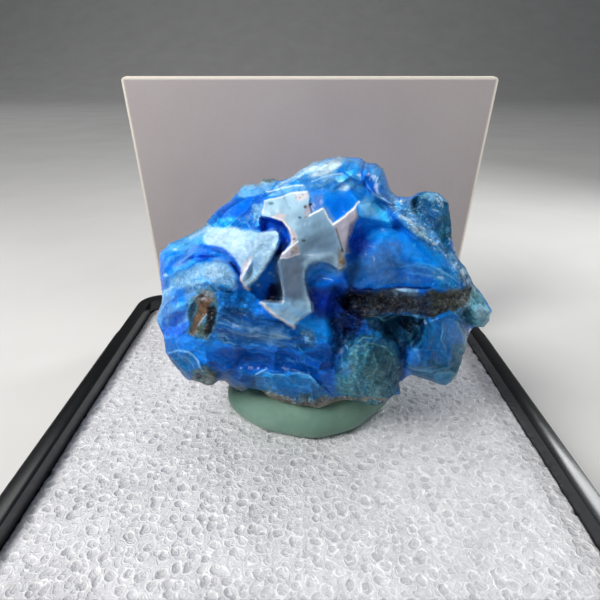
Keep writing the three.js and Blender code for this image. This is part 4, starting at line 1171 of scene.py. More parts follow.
# Lines: points, half width, hue and strength
STROKES = [
    ([(205, 247), (222, 250), (232, 258), (241, 272)], 2.6, "royal", 0.9),
    ([(206, 256), (222, 258), (234, 265)], 1.1, "lilac", 0.7),
    ([(212, 262), (225, 262), (236, 268)], 2.0, "silk", 0.45),
    ([(252, 257), (246, 268), (241.5, 275), (241.5, 281), (245.5, 287), (250, 290)], 1.5, "cream", 0.95),
    ([(246, 262), (242, 270)], 2.2, "cream", 0.7),
    ([(262.5, 213), (265, 201), (290, 194.5), (307, 192.5)], 0.9, "white", 0.7),
    ([(310, 216), (322.5, 208), (333, 224), (346, 215.5), (359, 201.5)], 1.0, "white", 0.95),
    ([(272, 217), (283, 220), (290, 230), (292, 242)], 0.8, "white", 0.6),
    ([(279, 256), (298, 241.5)], 0.9, "white", 0.85),
    ([(278, 258), (288, 257.5), (299, 254)], 0.8, "cream", 0.7),
    ([(277, 258), (277, 268), (279, 278), (283, 292), (282, 303)], 0.8, "white", 0.5),
    ([(261, 302), (276, 301), (284, 302)], 0.8, "white", 0.7),
    ([(262, 303), (275, 315), (288, 324), (294, 328)], 1.7, "cream", 0.85),
    ([(294, 328), (299, 320), (312, 312)], 0.8, "cream", 0.6),
    ([(336, 228), (341, 244), (343, 252)], 1.0, "brown", 0.5),
    ([(339, 268), (346, 264), (344, 254)], 0.7, "cream", 0.6),
    ([(307, 292), (312, 304), (312.5, 311)], 0.8, "cream", 0.5),
    ([(305, 282), (303, 270), (308, 261), (320, 257), (334, 259), (344, 266)], 1.4, "frost_grey", 0.45),
    ([(306, 276), (309, 268), (320, 263), (332, 266), (339, 274)], 1.2, "steel", 0.75),
    ([(310, 278), (314, 272), (322, 269), (330, 272)], 1.2, "lagoon", 0.7),
    ([(313, 283), (318, 277), (326, 276)], 1.0, "steel", 0.5),
    ([(206, 314), (199, 325)], 0.9, "mist", 0.9),
    ([(170, 352), (180, 349), (190, 352), (198, 360), (203, 371)], 1.1, "sky", 0.8),
    ([(174, 358), (186, 357), (194, 366)], 0.8, "light", 0.4),
    ([(256, 374), (261, 370.5), (266, 369)], 0.8, "frost", 0.6),
    ([(262, 371), (272, 374), (284, 374.5)], 0.8, "sky", 0.6),
    ([(292, 373), (302, 372.5), (310, 375), (316, 381)], 0.8, "sky", 0.55),
    ([(322, 384), (331, 387)], 0.8, "light", 0.5),
    ([(300, 374), (312, 378), (318, 386)], 1.6, "light", 0.5),
    ([(351, 362), (356, 376), (360, 386)], 0.7, "sea", 0.6),
    ([(400, 352), (401, 364)], 1.0, "mist", 0.35),
    ([(358, 342), (364, 338), (372, 338)], 0.9, "sea", 0.5),
    ([(350, 354), (358, 347), (370, 343), (384, 346)], 1.0, "sea", 0.42),
    ([(384, 346), (392, 354), (395, 367)], 0.8, "sea", 0.35),
    ([(357, 358), (353, 370), (357, 384), (363, 396)], 0.8, "mist", 0.35),
    ([(372, 352), (376, 364), (373, 378)], 0.7, "sea", 0.5),
    ([(340, 386), (352, 392), (366, 395), (382, 396)], 0.8, "mist", 0.28),
    ([(362, 380), (372, 387), (386, 388)], 0.7, "mist", 0.28),
    ([(372, 317), (384, 320), (398, 317), (412, 315), (424, 318)], 0.8, "sea", 0.45),
    ([(354, 350), (364, 344), (376, 345)], 0.8, "teal_grey", 0.6),
    ([(267, 192), (285, 188), (303, 186.5)], 0.9, "ice", 0.8),
    ([(277, 187), (292, 180), (306, 174), (322, 170)], 0.9, "ice", 0.6),
    ([(312, 182), (326, 176), (342, 174)], 0.9, "frost", 0.6),
    ([(366, 186), (372, 194), (382, 200), (392, 208)], 1.6, "sky", 0.6),
    ([(369, 180), (373, 172), (378, 168)], 0.9, "sky", 0.6),
    # Painted highlight along the second knob's top edge.
    ([(366, 163), (376, 164), (383, 168)], 1.2, "sky", 0.7),
    ([(400, 216), (410, 225), (420, 234), (432, 241)], 1.4, "frost", 0.75),
    ([(404, 226), (416, 236), (430, 246)], 1.0, "deep", 0.4),
    ([(416, 263), (430, 265), (440, 270), (450, 277)], 1.2, "light", 0.5),
    ([(424, 268), (436, 272), (446, 280)], 0.9, "light", 0.4),
    ([(388, 244), (396, 246), (400, 252)], 1.4, "silk", 0.6),
    ([(348, 283), (360, 273), (376, 266), (388, 262), (402, 264), (424, 270), (446, 279)],
     5.0, "silk", 0.4),
    ([(352, 289), (366, 281), (384, 275), (398, 273), (412, 275), (430, 279)], 4.4, "lilac", 0.28),
    ([(350, 272), (362, 264), (374, 258), (390, 255)], 5.0, "silk", 0.35),
    ([(354, 262), (366, 254), (378, 250), (390, 250)], 4.0, "lilac", 0.25),
    ([(376, 286), (390, 281), (406, 280), (420, 283)], 3.4, "silk", 0.35),
    ([(372, 246), (382, 241), (392, 241), (400, 245)], 3.6, "lilac", 0.22),
    ([(400, 267), (414, 265), (428, 268), (440, 272)], 1.0, "light", 0.3),
    ([(436, 268), (448, 275), (458, 283)], 0.9, "sky", 0.5),
    ([(406, 274), (418, 273), (434, 277), (450, 284)], 0.9, "light", 0.35),
    ([(368, 238), (378, 232), (390, 231)], 2.0, "light", 0.25),
    # Painted highlight along the top knob's upper edge.
    ([(340, 163), (346, 157.5), (358, 158), (365, 163)], 1.0, "sky", 0.7),
    # Painted shade in the notch between the knobs.
    ([(364, 164), (362, 174), (364, 184), (370, 193)], 1.6, "royal", 0.6),
    # Painted shade under the top knob.
    ([(344, 174), (352, 179), (361, 183)], 1.0, "royal", 0.35),
    # Painted highlight on the top knob's top.
    ([(345, 166), (348, 162), (354, 162)], 1.0, "light", 0.6),
    ([(386, 184), (391, 192), (399, 201)], 1.2, "royal", 0.5),
    ([(352, 352), (350, 362), (353, 372)], 0.8, "sea", 0.35),
    ([(358, 350), (360, 362), (358, 376)], 0.7, "teal_grey", 0.5),
    ([(388, 354), (390, 364), (388, 374)], 0.7, "sea", 0.35),
    ([(382, 348), (386, 362), (384, 380), (380, 394)], 0.7, "teal_grey", 0.6),
    ([(443, 321), (441, 338), (446, 350)], 0.8, "sky", 0.5),
    ([(413, 350), (430, 350), (446, 351)], 0.8, "light", 0.4),
    ([(412, 369), (432, 370), (451, 366)], 0.9, "sky", 0.4),
    ([(440, 372), (448, 368), (453, 374)], 0.8, "sea", 0.4),
    # Painted shade along the block's upper left edge.
    ([(424, 322), (421, 334), (413, 346)], 1.6, "ink", 0.6),
    # Painted highlight: a bright rim along the knob's right edge.
    ([(450, 206), (451.5, 232), (455, 252)], 1.2, "sky", 0.6),
    ([(424, 320), (425.5, 324)], 0.9, "frost", 0.6),
    ([(456, 322), (464, 338), (463, 352), (455, 376)], 1.0, "sea", 0.7),
    ([(406, 366), (416, 370), (430, 372)], 0.9, "sky", 0.45),
    # Painted highlight along the flake's right edge.
    ([(477, 289), (482.5, 299), (488.5, 312)], 1.2, "azure", 0.7),
    ([(462, 312), (468, 302), (470, 290)], 1.0, "mist", 0.6),
    ([(392, 291), (404, 289.5), (417, 291)], 0.9, "mist", 0.6),
    # Painted shadow along the ledge's upper edge, under the overhang.
    ([(345, 289), (372, 290), (398, 288), (430, 288)], 1.3, "ink", 0.75),
    ([(256, 389), (272, 395), (285, 401), (300, 403), (316, 404), (330, 400), (350, 397.5), (370, 396.5),
      (388, 399)], 1.5, "crust", 0.85),
    ([(160, 300), (166, 292), (174, 287)], 1.0, "frost", 0.6),
    ([(162, 312), (168, 302), (176, 296)], 1.0, "sky", 0.5),
    ([(187, 322), (187, 312), (190, 303)], 0.9, "sky", 0.5),
]

# Small marks: place, half sizes, turn in degrees, hue and strength
SPOTS = [
    # The cyan spot at 230, 219 is a painted glint.
    (230, 219, 3.2, 2.0, 20, "cyan", 0.95), (248, 218, 3.0, 1.6, 20, "lilac", 0.7),
    (414.5, 245, 1.4, 1.9, 20, "cyan", 0.85), (410, 240, 3.0, 3.0, 0, "azure", 0.6),
    (434.5, 244, 2.2, 1.2, 40, "ice", 0.8), (445.5, 255.5, 1.3, 2.2, -10, "ice", 0.8),
    (441.5, 206, 1.2, 2.8, -20, "ice", 0.6), (440, 277.5, 3.4, 1.2, 15, "frost", 0.7),
    # The sky spots at 270, 273 and 274, 276 are a painted highlight in the hollow.
    (270, 273, 2.4, 1.5, 20, "sky", 0.8), (258, 285, 2.0, 1.6, 0, "frost", 0.7),
    (274, 276, 1.6, 1.4, 0, "sky", 0.7),
    (271, 203.5, 3.0, 1.8, 0, "teal_grey", 0.7), (310.7, 204.8, 1.1, 1.1, 0, "black", 0.95),
    (305.3, 207, 1.4, 1.2, 0, "brown", 0.7), (299.8, 217.6, 1.8, 1.2, 0, "band_dark", 0.85),
    (305.8, 217, 2.0, 1.2, -30, "crust", 0.8), (303.7, 240.6, 1.9, 1.4, 0, "moss", 0.9),
    (296, 198, 1.0, 0.9, 0, "crust", 0.5), (300, 198, 1.1, 0.9, 0, "crust", 0.5),
    (303, 195.5, 0.9, 0.9, 0, "crust", 0.4),
    (284, 199, 1.1, 0.9, 0, "band", 0.5), (290, 208, 1.2, 1.0, 0, "band", 0.4),
    (315, 226, 1.2, 1.0, 0, "band_dark", 0.4),
    (341, 262, 1.8, 1.8, 0, "rust", 0.75), (342, 250, 1.3, 1.6, 0, "brown", 0.75),
    (294, 239, 1.6, 1.3, 0, "brown", 0.45), (296, 248, 1.6, 1.4, 0, "crust", 0.6),
    (292, 252, 1.4, 1.2, 0, "brown", 0.3),
    (167.5, 275.5, 1.6, 1.6, 0, "frost", 0.7), (176, 249.5, 2.4, 1.2, 0, "ice", 0.6),
    # The ice spot at 468, 330 is a painted highlight on the block's upper right rim.
    (468, 330, 1.4, 2.2, 10, "ice", 0.85), (267, 181, 7.5, 2.4, 5, "moss", 0.9),
    (262, 180, 2.0, 1.4, 0, "brown", 0.7),
    (205, 300, 3.4, 2.0, 20, "cream", 0.7), (197, 309, 2.0, 3.4, 10, "teal_grey", 0.6),
    (209, 313, 1.4, 2.6, 10, "black", 0.8),
    (203, 326, 2.2, 2.6, 0, "teal_grey", 0.7), (200, 375.5, 3.2, 2.6, 0, "ink", 0.6),
    (200, 375.5, 1.4, 1.2, 0, "crust", 0.6),
    (345, 188, 3.0, 2.0, -20, "ice", 0.7), (462, 272, 3.0, 3.4, 30, "ice", 0.6),
    (467, 280, 2.4, 3.0, 30, "frost", 0.55),
    (473, 289, 2.0, 2.6, 20, "mist", 0.5), (340, 350, 2.6, 3.0, 0, "pink_grey", 0.35),
    (478, 312, 3.6, 5.0, 0, "mist", 0.45),
]

# Fine parallel lines: outline, direction in degrees below the level, line width, hue and strength
SILKY_BAND = [
    (214, 320), (226, 308), (250, 310), (275, 318), (300, 331), (314, 345), (298, 350), (262, 347),
    (235, 347), (218, 340),
]
PATCH_FACE = [(206, 232), (250, 231), (270, 234), (262, 262), (248, 284), (236, 262), (210, 248)]
TOP_RIDGE = [(276, 188), (300, 170), (328, 157), (344, 157), (352, 178), (345, 191), (305, 187)]
FIBRES = [
    (SILKY_BAND, 12, 1.7, "frost_grey", 0.7),
    (SILKY_BAND, 15, 2.6, "deep", 0.7),
    ([(240, 322), (262, 322), (290, 332), (290, 342), (262, 340), (242, 334)], 14, 1.8, "ice", 0.45),
    ([(360, 222), (398, 226), (402, 262), (396, 286), (370, 290), (350, 286), (352, 256)],
     118, 3.4, "silk", 0.25),
    ([(398, 256), (430, 262), (452, 278), (450, 288), (400, 288)], 14, 2.2, "light", 0.35),
    (PATCH_FACE, -52, 1.9, "light", 0.34),
    (PATCH_FACE, 38, 2.1, "steel", 0.16),
    (TOP_RIDGE, -24, 2.6, "ice", 0.6),
    (TOP_RIDGE, -20, 2.0, "azure", 0.5),
    ([(160, 250), (186, 236), (206, 224), (208, 262), (180, 272), (164, 290)], -44, 2.6, "sky", 0.45),
    ([(158, 294), (190, 284), (196, 300), (188, 330), (166, 336)], -38, 2.6, "sky", 0.4),
    ([(344, 340), (398, 342), (402, 392), (352, 400)], 96, 2.2, "sea", 0.4),
    ([(384, 346), (402, 346), (402, 394), (386, 394)], 92, 1.6, "teal_dark", 0.5),
    ([(210, 350), (340, 348), (338, 372), (262, 368), (210, 368)], 10, 2.4, "slate", 0.4),
    ([(218, 370), (262, 372), (318, 384), (320, 398), (262, 390), (222, 382)], 16, 2.2, "sky", 0.3),
    ([(406, 318), (466, 316), (464, 350), (452, 382), (408, 368)], 62, 2.6, "sky", 0.28),
    ([(240, 184), (264, 180), (270, 192), (244, 198)], 4, 1.8, "azure", 0.45),
    ([(246, 288), (300, 300), (342, 318), (336, 340), (300, 330), (262, 312)], 24, 2.4, "azure", 0.25),
]

# Grainy zones: outline, grain size, strength, and the hues that the grains take
GRAINS = [
    (LEFT_LUMP, 2.8, 0.34, ("frost", "steel", "sky", "frost", "light")),
    ([(176, 276), (236, 276), (236, 304), (196, 300)],
     3.2, 0.4, ("mist", "steel", "azure", "slate", "sky")),
    ([(244, 236), (282, 232), (276, 256), (258, 282), (244, 286)],
     2.2, 0.24, ("ice", "sky", "frost_grey", "frost")),
    ([(204, 228), (244, 230), (246, 264), (226, 254), (204, 242)],
     2.4, 0.12, ("ice", "frost_grey", "ice", "frost")),
    ([(214, 216), (262, 214), (264, 228), (212, 228)], 3.0, 0.45, ("sky", "bright", "azure", "royal")),
    ([(250, 204), (264, 202), (264, 224), (250, 220)], 2.4, 0.5, ("frost", "steel", "sky")),
    ([(222, 286), (262, 304), (250, 314), (214, 316)], 3.2, 0.5, ("azure", "deep", "sky", "marine")),
    (CREST, 2.8, 0.6, ("ice", "slate", "sky", "white", "azure", "frost", "lagoon")),
    (TEAL_KNOB, 3.2, 0.42, ("teal_dark", "sky", "teal", "slate", "sea")),
    ([(404, 198), (422, 200), (426, 222), (410, 218)], 2.6, 0.5, ("ice", "teal_dark", "sea")),
    ([(448, 256), (462, 264), (480, 294), (462, 290)],
     2.6, 0.6, ("cream", "brown", "mist", "teal_grey", "pink_grey")),
    (GRANULAR_LEDGE, 2.4, 0.62, ("brown", "crust", "brown", "pink_grey", "black", "stone_grey", "ink")),
    ([(330, 288), (372, 292), (424, 316), (424, 340), (352, 344), (332, 320)],
     3.4, 0.4, ("black", "ink", "slate", "black", "brown")),
    ([(330, 340), (404, 336), (404, 400), (338, 402)],
     2.4, 0.42, ("teal_dark", "sea", "moss", "teal_grey", "lagoon")),
    ([(252, 386), (330, 396), (386, 394), (386, 410), (256, 410)],
     2.6, 0.6, ("crust", "brown", "mist", "olive", "cream")),
    ([(194, 368), (218, 370), (216, 388), (196, 384)], 2.4, 0.5, ("moss", "crust", "teal_dark", "olive")),
    ([(190, 292), (218, 290), (214, 338), (194, 340)],
     2.2, 0.4, ("black", "cream", "rust", "teal_grey", "brown")),
    ([(454, 288), (492, 300), (490, 328), (456, 322)], 2.8, 0.35, ("mist", "teal", "ice", "teal_dark")),
    ([(430, 262), (458, 270), (458, 290), (432, 288)], 2.8, 0.4, ("frost", "royal", "sky", "lagoon")),
    ([(420, 318), (468, 316), (462, 370), (446, 388), (406, 370)],
     3.2, 0.14, ("steel", "deep", "teal", "marine")),
    ([(300, 328), (316, 330), (316, 344), (300, 344)], 2.2, 0.5, ("ice", "steel", "frost")),
    ([(158, 340), (206, 342), (206, 384), (176, 368)], 3.0, 0.25, ("sky", "deep", "azure", "teal")),
    ([(334, 332), (350, 330), (350, 358), (336, 356)],
     2.4, 0.5, ("pink_grey", "brown", "marine", "black")),
]


def mix_in(tint, share, hue):
    return tint + share[:, None] * (hue - tint)


def painted(px, py, from_centre):
    """The front's hues, laid over each other in the order of the lists. At the rim they are taken from a
    little further in."""
    away_x, away_y = px - STONE_CENTRE[0], py - STONE_CENTRE[1]
    inwards = 2.4 * from_centre ** 8 / np.maximum(np.hypot(away_x, away_y), 1)
    px, py = px - away_x * inwards, py - away_y * inwards
    wobble_x = fractal(21, 9.0, px, py, octaves=3)
    wobble_y = fractal(22, 9.0, px, py, octaves=3)
    tint = np.tile(HUES["azure"], (len(px), 1))
    cloud = fractal(23, 30.0, px, py, octaves=4)
    tint = mix_in(tint, smooth_step(0.5 + 0.6 * cloud) * 0.6, HUES["royal"])
    for outline, hue, strength, soft, ragged in AREAS:
        share = share_inside(outline, px + ragged * wobble_x, py + ragged * wobble_y, soft)
        tint = mix_in(tint, strength * share, HUES[hue])
    for number, (outline, angle, width, hue, strength) in enumerate(FIBRES):
        share = share_inside(outline, px + 3 * wobble_x, py + 3 * wobble_y, 4)
        along, across = along_across(px, py, angle)
        along, across = along + 1.5 * wobble_x, across + 2.2 * wobble_y
        lines = fractal(40 + number, width * 1.5, across, along / 11, octaves=2)
        fade = 0.5 + 0.5 * value_noise(60 + number, 16.0, px, py)
        tint = mix_in(tint, strength * share * fade * smooth_step(0.35 + 1.6 * lines), HUES[hue])
    for number, (outline, size, strength, hues) in enumerate(GRAINS):
        share = share_inside(outline, px + 3 * wobble_x, py + 3 * wobble_y, 4)
        size = 0.72 * size
        near, far, chance = cells(80 + number, px / size + 0.3 * wobble_x, py / size + 0.3 * wobble_y)
        pick = (np.floor(chance * 97.0) % len(hues)).astype(int)
        grain = np.array([HUES[name] for name in hues])[pick]
        body = smooth_step((far - near) / 0.5) * (0.35 + 0.65 * (np.floor(chance * 977.0) % 2))
        tint = tint + (strength * share * body)[:, None] * (grain - tint)
    for number, (*_, paleness) in enumerate(CHIPS):
        share, _, edge, chance = chips(number, px, py)
        lit = 0.6 + 0.4 * value_noise(300 + number, 7.0, px, py)
        # Painted highlight: the sharp edges between the scoops are made paler.
        tint = mix_in(tint, 0.55 * share * paleness * edge * lit, HUES["sky"])
        tint = tint * (1 + 0.34 * (share * (chance - 0.5) * (paleness > 0)))[:, None]
    for points, width, hue, strength in STROKES:
        apart = off_line(points, px + 0.7 * wobble_x, py + 0.7 * wobble_y)
        tint = mix_in(tint, strength * smooth_step(1.35 - apart / width), HUES[hue])
    for x, y, half_w, half_h, turn, hue, strength in SPOTS:
        along, across = along_across(px - x, py - y, turn)
        apart = np.hypot(along / half_w, across / half_h) + 0.25 * wobble_x
        tint = mix_in(tint, strength * smooth_step(1.7 - 1.2 * apart), HUES[hue])
    plain = zone_share([PALE_BAND, AZURE_FACET], px, py, 2)
    speck = fractal(24, 3.0, px + 2 * wobble_x, py + 2 * wobble_y, octaves=2)
    streak = fractal(25, 1.6, py - 0.25 * px + 3 * wobble_y, px / 7, octaves=2)
    tint = tint * (1 + (0.05 * speck + 0.05 * streak) * (1 - 0.85 * plain))[:, None]
    fleck = smooth_step((fractal(26, 2.4, px, py, octaves=2) - 0.62) / 0.3)
    tint = mix_in(tint, 0.18 * fleck * (1 - plain), HUES["sky"])
    return np.clip(tint, 0, 1)


# Clouds of the sides and back: seed, size in mm, where the cloud starts, softness, strength and hue
BACK_HUES = [
    (101, 5.0, 0.0, 0.5, 0.8, "royal"), (102, 4.0, 0.35, 0.4, 0.8, "azure"),
    (103, 6.0, 0.3, 0.4, 0.85, "teal"), (104, 3.2, 0.4, 0.3, 0.75, "sky"),
    (105, 4.4, 0.55, 0.25, 0.8, "stone_grey"), (106, 2.4, 0.55, 0.3, 0.6, "frost"),
    (107, 3.6, 0.6, 0.3, 0.7, "deep"),
]


def back_hues(points):
    """The sides and back, which the photograph doesn't show: the same stone, mixed by smooth noise."""
    x, y, z = (points / MM).T
    tint = np.tile(HUES["bright"], (len(x), 1))
    for seed, size, level, softness, strength, hue in BACK_HUES:
        field = fractal(seed, size, x, y, z, octaves=4)
        tint = mix_in(tint, strength * smooth_step(0.5 + (field - level) / softness), HUES[hue])
    lines = fractal(108, 0.5, x * 0.2 + z, y + 0.3 * x, x * 0.15, octaves=2)
    tint = mix_in(tint, 0.3 * smooth_step(0.2 + 1.4 * lines), HUES["sky"])
    low = smooth_step((9.0 - z) / 2.5 + 0.3 * fractal(109, 1.5, x, y, z, octaves=2))
    return mix_in(tint, 0.5 * low, HUES["crust"])


# Where the silky lines run: rising to the right, falling to the right, or upright
RISING_LINES = [
    [(150, 238), (210, 215), (250, 180), (300, 165), (345, 155), (356, 180), (345, 193), (270, 200),
     (262, 228), (208, 235), (208, 262), (170, 290), (150, 296)],
    [(154, 288), (196, 284), (192, 330), (166, 344), (154, 330)],
    [(350, 222), (398, 222), (396, 290), (348, 290)],
]
FALLING_LINES = [
    [(212, 314), (228, 304), (256, 304), (316, 328), (342, 346), (340, 374), (330, 402), (262, 402),
     (216, 386), (200, 344)],
    [(158, 338), (208, 342), (222, 372), (214, 390), (176, 372)],
    [(392, 250), (430, 258), (460, 276), (460, 292), (396, 292)],
    [(340, 150), (400, 190), (470, 270), (450, 270), (400, 225), (350, 185)],
]
UPRIGHT_LINES = [
    [(334, 330), (406, 330), (406, 402), (334, 404)],
    [(400, 312), (470, 306), (470, 350), (454, 388), (402, 372)],
    [(410, 190), (455, 190), (456, 250), (430, 240), (410, 216)],
]


def zone_share(outlines, px, py, soft):
    """How far each point is inside any of the outlines, from 0 to 1."""
    total = np.zeros(px.shape)
    for outline in outlines:
        total = np.maximum(total, share_inside(outline, px, py, soft))
    return total


def make_stone():
    """The fine surface: the laid-out front, the broken back, then small relief along the normals."""
    px, py, front, from_centre, faces = stone_grid()
    points = place_on_stone(px, py, front, from_centre)
    piece = mesh_piece("allophane_visual", points, faces)
    mesh = piece.data
    normals = np.empty(len(mesh.vertices) * 3)
    mesh.vertices.foreach_get("normal", normals)
    normals = normals.reshape(-1, 3)

    grainy = np.zeros(len(px))
    for outline, _, strength, _ in GRAINS:
        grainy = np.maximum(grainy, min(1.0, 1.7 * strength) * zone_share([outline], px, py, 4))
    smooth = zone_share([PALE_BAND, AZURE_FACET, TOP_KNOB, SECOND_KNOB], px, py, 2)
    smooth = np.maximum(smooth, 0.6 * zone_share([RIGHT_FACE], px, py, 4))
    grainy = np.clip(grainy - smooth, 0, 1)
    at_back = np.where(front, 0.0, smooth_step((0.95 - from_centre) / 0.3))
    grainy = grainy * (1 - at_back) + 0.55 * at_back
    smooth = smooth * (1 - at_back)

    x, y, z = (points / MM).T
    coarse = fractal(31, 1.3, x, y, z, octaves=3)
    fine = fractal(32, 0.42, x, y, z, octaves=3)
    push = (0.05 + 0.07 * grainy + 0.10 * at_back) * coarse * (1 - 0.75 * smooth)
    push += (0.015 + 0.045 * grainy) * fine * (1 - 0.85 * smooth)
    fade = np.clip((1.02 - from_centre) / 0.05, 0.25, 1)
    points = points + normals * (push * fade * MM)[:, None]
    mesh.vertices.foreach_set("co", points.ravel())
    mesh.update()

    # Near the upper rim, places that lie almost along the line of sight take the hues of the sides
    sight = points - VIEWPOINT
    sight /= np.linalg.norm(sight, axis=1)[:, None]
    facing = -np.sum(sight * normals, axis=1)
    steep = smooth_step((0.34 - facing) / 0.26) * smooth_step((from_centre - 0.8) / 0.12)
    steep = np.where(front, 0.6 * steep * smooth_step((normals[:, 2] - 0.25) / 0.4), 0)
    aside = np.maximum(at_back, steep)
    tint = painted(px, py, from_centre)
    tint = tint + aside[:, None] * (back_hues(points) - tint)
    linear = tint ** 2.2
    store_colour(mesh, "tint", linear)
    store_colour(mesh, "marks", np.stack([grainy, smooth, at_back], -1))
    lines = [zone_share(zones, px, py, 8) for zones in (RISING_LINES, FALLING_LINES, UPRIGHT_LINES)]
    store_colour(mesh, "lines", np.stack(lines, -1) * (1 - 0.7 * at_back)[:, None] + (0.3 * at_back)[:, None])
    return piece


def store_colour(mesh, name, values):
    """Stores three values per vertex as a named colour attribute."""
    layer = mesh.attributes.new(name, "FLOAT_COLOR", "POINT")
    layer.data.foreach_set("color", np.concatenate([values, np.ones((len(values), 1))], 1).ravel())


def allophane_stone():
    material, tree, shader = new_material("allophane_stone", IOR=1.48, Specular_IOR_Level=0.07,
                                          Subsurface_Weight=0.12, Subsurface_Scale=0.5 * MM,
                                          Subsurface_Radius=(0.35, 0.8, 1.0), Coat_Weight=0.11,
                                          Coat_Roughness=0.08, Coat_IOR=1.5)
    place = object_space(tree)
    tint, marks, flow = [add_node(tree, "ShaderNodeAttribute", {"attribute_name": name}).outputs["Color"]
                         for name in ("tint", "marks", "lines")]
    parts = add_node(tree, "ShaderNodeSeparateColor", Color=marks).outputs
    grainy, smooth = parts["Red"], parts["Green"]
    flow = add_node(tree, "ShaderNodeSeparateColor", Color=flow).outputs

    def silk(angle, share):
        """Fine lines that run at an angle below the level, where their share says."""
        turned = mapped(tree, place, turn=(0, math.radians(-angle), 0))
        field = noise(tree, mapped(tree, turned, scale=(0.09, 0.8, 1.0)), 4600, detail=3, roughness=0.6,
                      distortion=0.2)
        return times(tree, minus(tree, field, 0.5), share)

    lines = plus(tree, silk(-36, flow["Red"]), plus(tree, silk(14, flow["Green"]), silk(96, flow["Blue"])))
    fine = noise(tree, place, 5200, detail=3, roughness=0.65)
    cloud = noise(tree, place, 900, detail=4, roughness=0.6, distortion=0.6)
    drift = add_node(tree, "ShaderNodeTexNoise", Vector=place, Scale=2600.0).outputs["Color"]
    rough_place = add_node(tree, "ShaderNodeVectorMath", {"operation": "MULTIPLY_ADD"}, i0=drift,
                           i1=(0.5 * MM, 0.5 * MM, 0.5 * MM), i2=place).outputs[0]
    grain = add_node(tree, "ShaderNodeTexVoronoi", {"feature": "F1"}, Vector=rough_place, Scale=6200.0)
    bright = add_node(tree, "ShaderNodeSeparateColor", Color=grain.outputs["Color"]).outputs["Red"]
    body = minus(tree, 1.0, smooth)
    # Grains: dark between, light on some
    shade = ramp(tree, bright, [(0.0, (0.42, 0.44, 0.48, 1)), (0.6, (0.92, 0.92, 0.92, 1)),
                                (0.95, (1.7, 1.65, 1.6, 1))])
    tint = blend_colours(tree, times(tree, grainy, 0.6, clamp=True), tint, shade, "MULTIPLY")
    # Silky lines: pale crests and darker troughs
    crest = times(tree, minus(tree, lines, 0.05), 5.0, clamp=True)
    trough = times(tree, minus(tree, -0.04, lines), 4.5, clamp=True)
    crest = times(tree, crest, body)
    trough = times(tree, trough, body)
    tint = blend_colours(tree, times(tree, crest, 0.6), tint, (1.5, 1.6, 1.4, 1), "MULTIPLY")
    tint = blend_colours(tree, times(tree, crest, 0.08), tint, hex_colour("#7fc2f4"))
    tint = blend_colours(tree, times(tree, trough, 0.7), tint, (0.35, 0.5, 0.66, 1), "MULTIPLY")
    # Hairline edges of small scoops, pale where they catch the light
    edge = add_node(tree, "ShaderNodeTexVoronoi", {"feature": "DISTANCE_TO_EDGE"}, Vector=rough_place,
                    Scale=1150.0).outputs["Distance"]
    hairline = falling(tree, edge, 0.0, 0.035)
    seen = rising(tree, cloud, 0.55, 0.62)
    hairline = times(tree, times(tree, hairline, seen), body)
    tint = blend_colours(tree, times(tree, hairline, 0.16), tint, hex_colour("#a9d8f8"))
    tree.links.new(tint, shader.inputs["Base Color"])
    rough = plus(tree, 0.26, times(tree, grainy, 0.3))
    rough = plus(tree, rough, times(tree, minus(tree, fine, 0.5), 0.3), clamp=True)
    tree.links.new(rough, shader.inputs["Roughness"])
    height = plus(tree, times(tree, fine, plus(tree, times(tree, grainy, 0.8), 0.2)),
                  times(tree, lines, 1.6))
    height = plus(tree, height, times(tree, times(tree, bright, grainy), 0.35))
    height = times(tree, height, minus(tree, 1.0, times(tree, smooth, 0.85)))
    tree.links.new(bump(tree, height, 0.6, 0.06 * MM), shader.inputs["Normal"])
    return material


finish_piece(make_stone(), "allophane", allophane_stone())


# The card
# A pale grey card with nearly sharp corners that stands in the base's rear groove and leans a little
# forward. Its cut edge is painted lighter than its face, as a highlight, and the face is smooth with a
# faint felt of fibres.

CARD_EDGE = 0.26 * MM


def pale_card():
    material, tree, shader = new_material("pale_card", Roughness=0.6, Specular_IOR_Level=0.35,
                                          Subsurface_Weight=0.05, Subsurface_Scale=0.3 * MM)
    place = object_space(tree)
    cloud = noise(tree, place, 60, detail=5)
    fibre = noise(tree, mapped(tree, place, scale=(1, 1, 2.4)), 3400, detail=5, roughness=0.7)
    tint = ramp(tree, cloud, [(0.3, hex_colour("#b7adad")), (0.7, hex_colour("#c3bbb9"))])
    tint = blend_colours(tree, 0.08, tint, ramp(tree, fibre, [(0.35, hex_colour("#a09b97")),
                                                             (0.65, hex_colour("#f2efec"))]), "MULTIPLY")
    low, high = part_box("backing_card")
    across = add_node(tree, "ShaderNodeSeparateXYZ", Vector=place).outputs
    off_middle = maths(tree, "ABSOLUTE", minus(tree, across["X"], (low.x + high.x) / 2))
    side_gap = minus(tree, (high.x - low.x) / 2, off_middle)
    top_gap = minus(tree, high.z, across["Z"])
    gap = maths(tree, "DIVIDE", maths(tree, "MINIMUM", side_gap, minus(tree, top_gap, 0.05 * MM)),
                CARD_EDGE)
    painted_edge_highlight = falling(tree, gap, 0.4, 0.9)
    # Painted highlight: the card's cut edges are made paler.
    tint = blend_colours(tree, times(tree, painted_edge_highlight, 0.85), tint, hex_colour("#fff6e6"))
    tree.links.new(tint, shader.inputs["Base Color"])
    tree.links.new(bump(tree, fibre, 0.08, 0.02 * MM), shader.inputs["Normal"])
    return material


card = rounded_edges(copy_of_node("backing_card", "backing_card_visual"), 0.12 * MM)
finish_piece(card, "backing_card", pale_card())


# The floor, the light and the camera
# A plain pale floor and soft studio light: a soft key from the upper left in front, a weak fill, a
# small light from the right that draws the stone's edge and a large soft one from above.

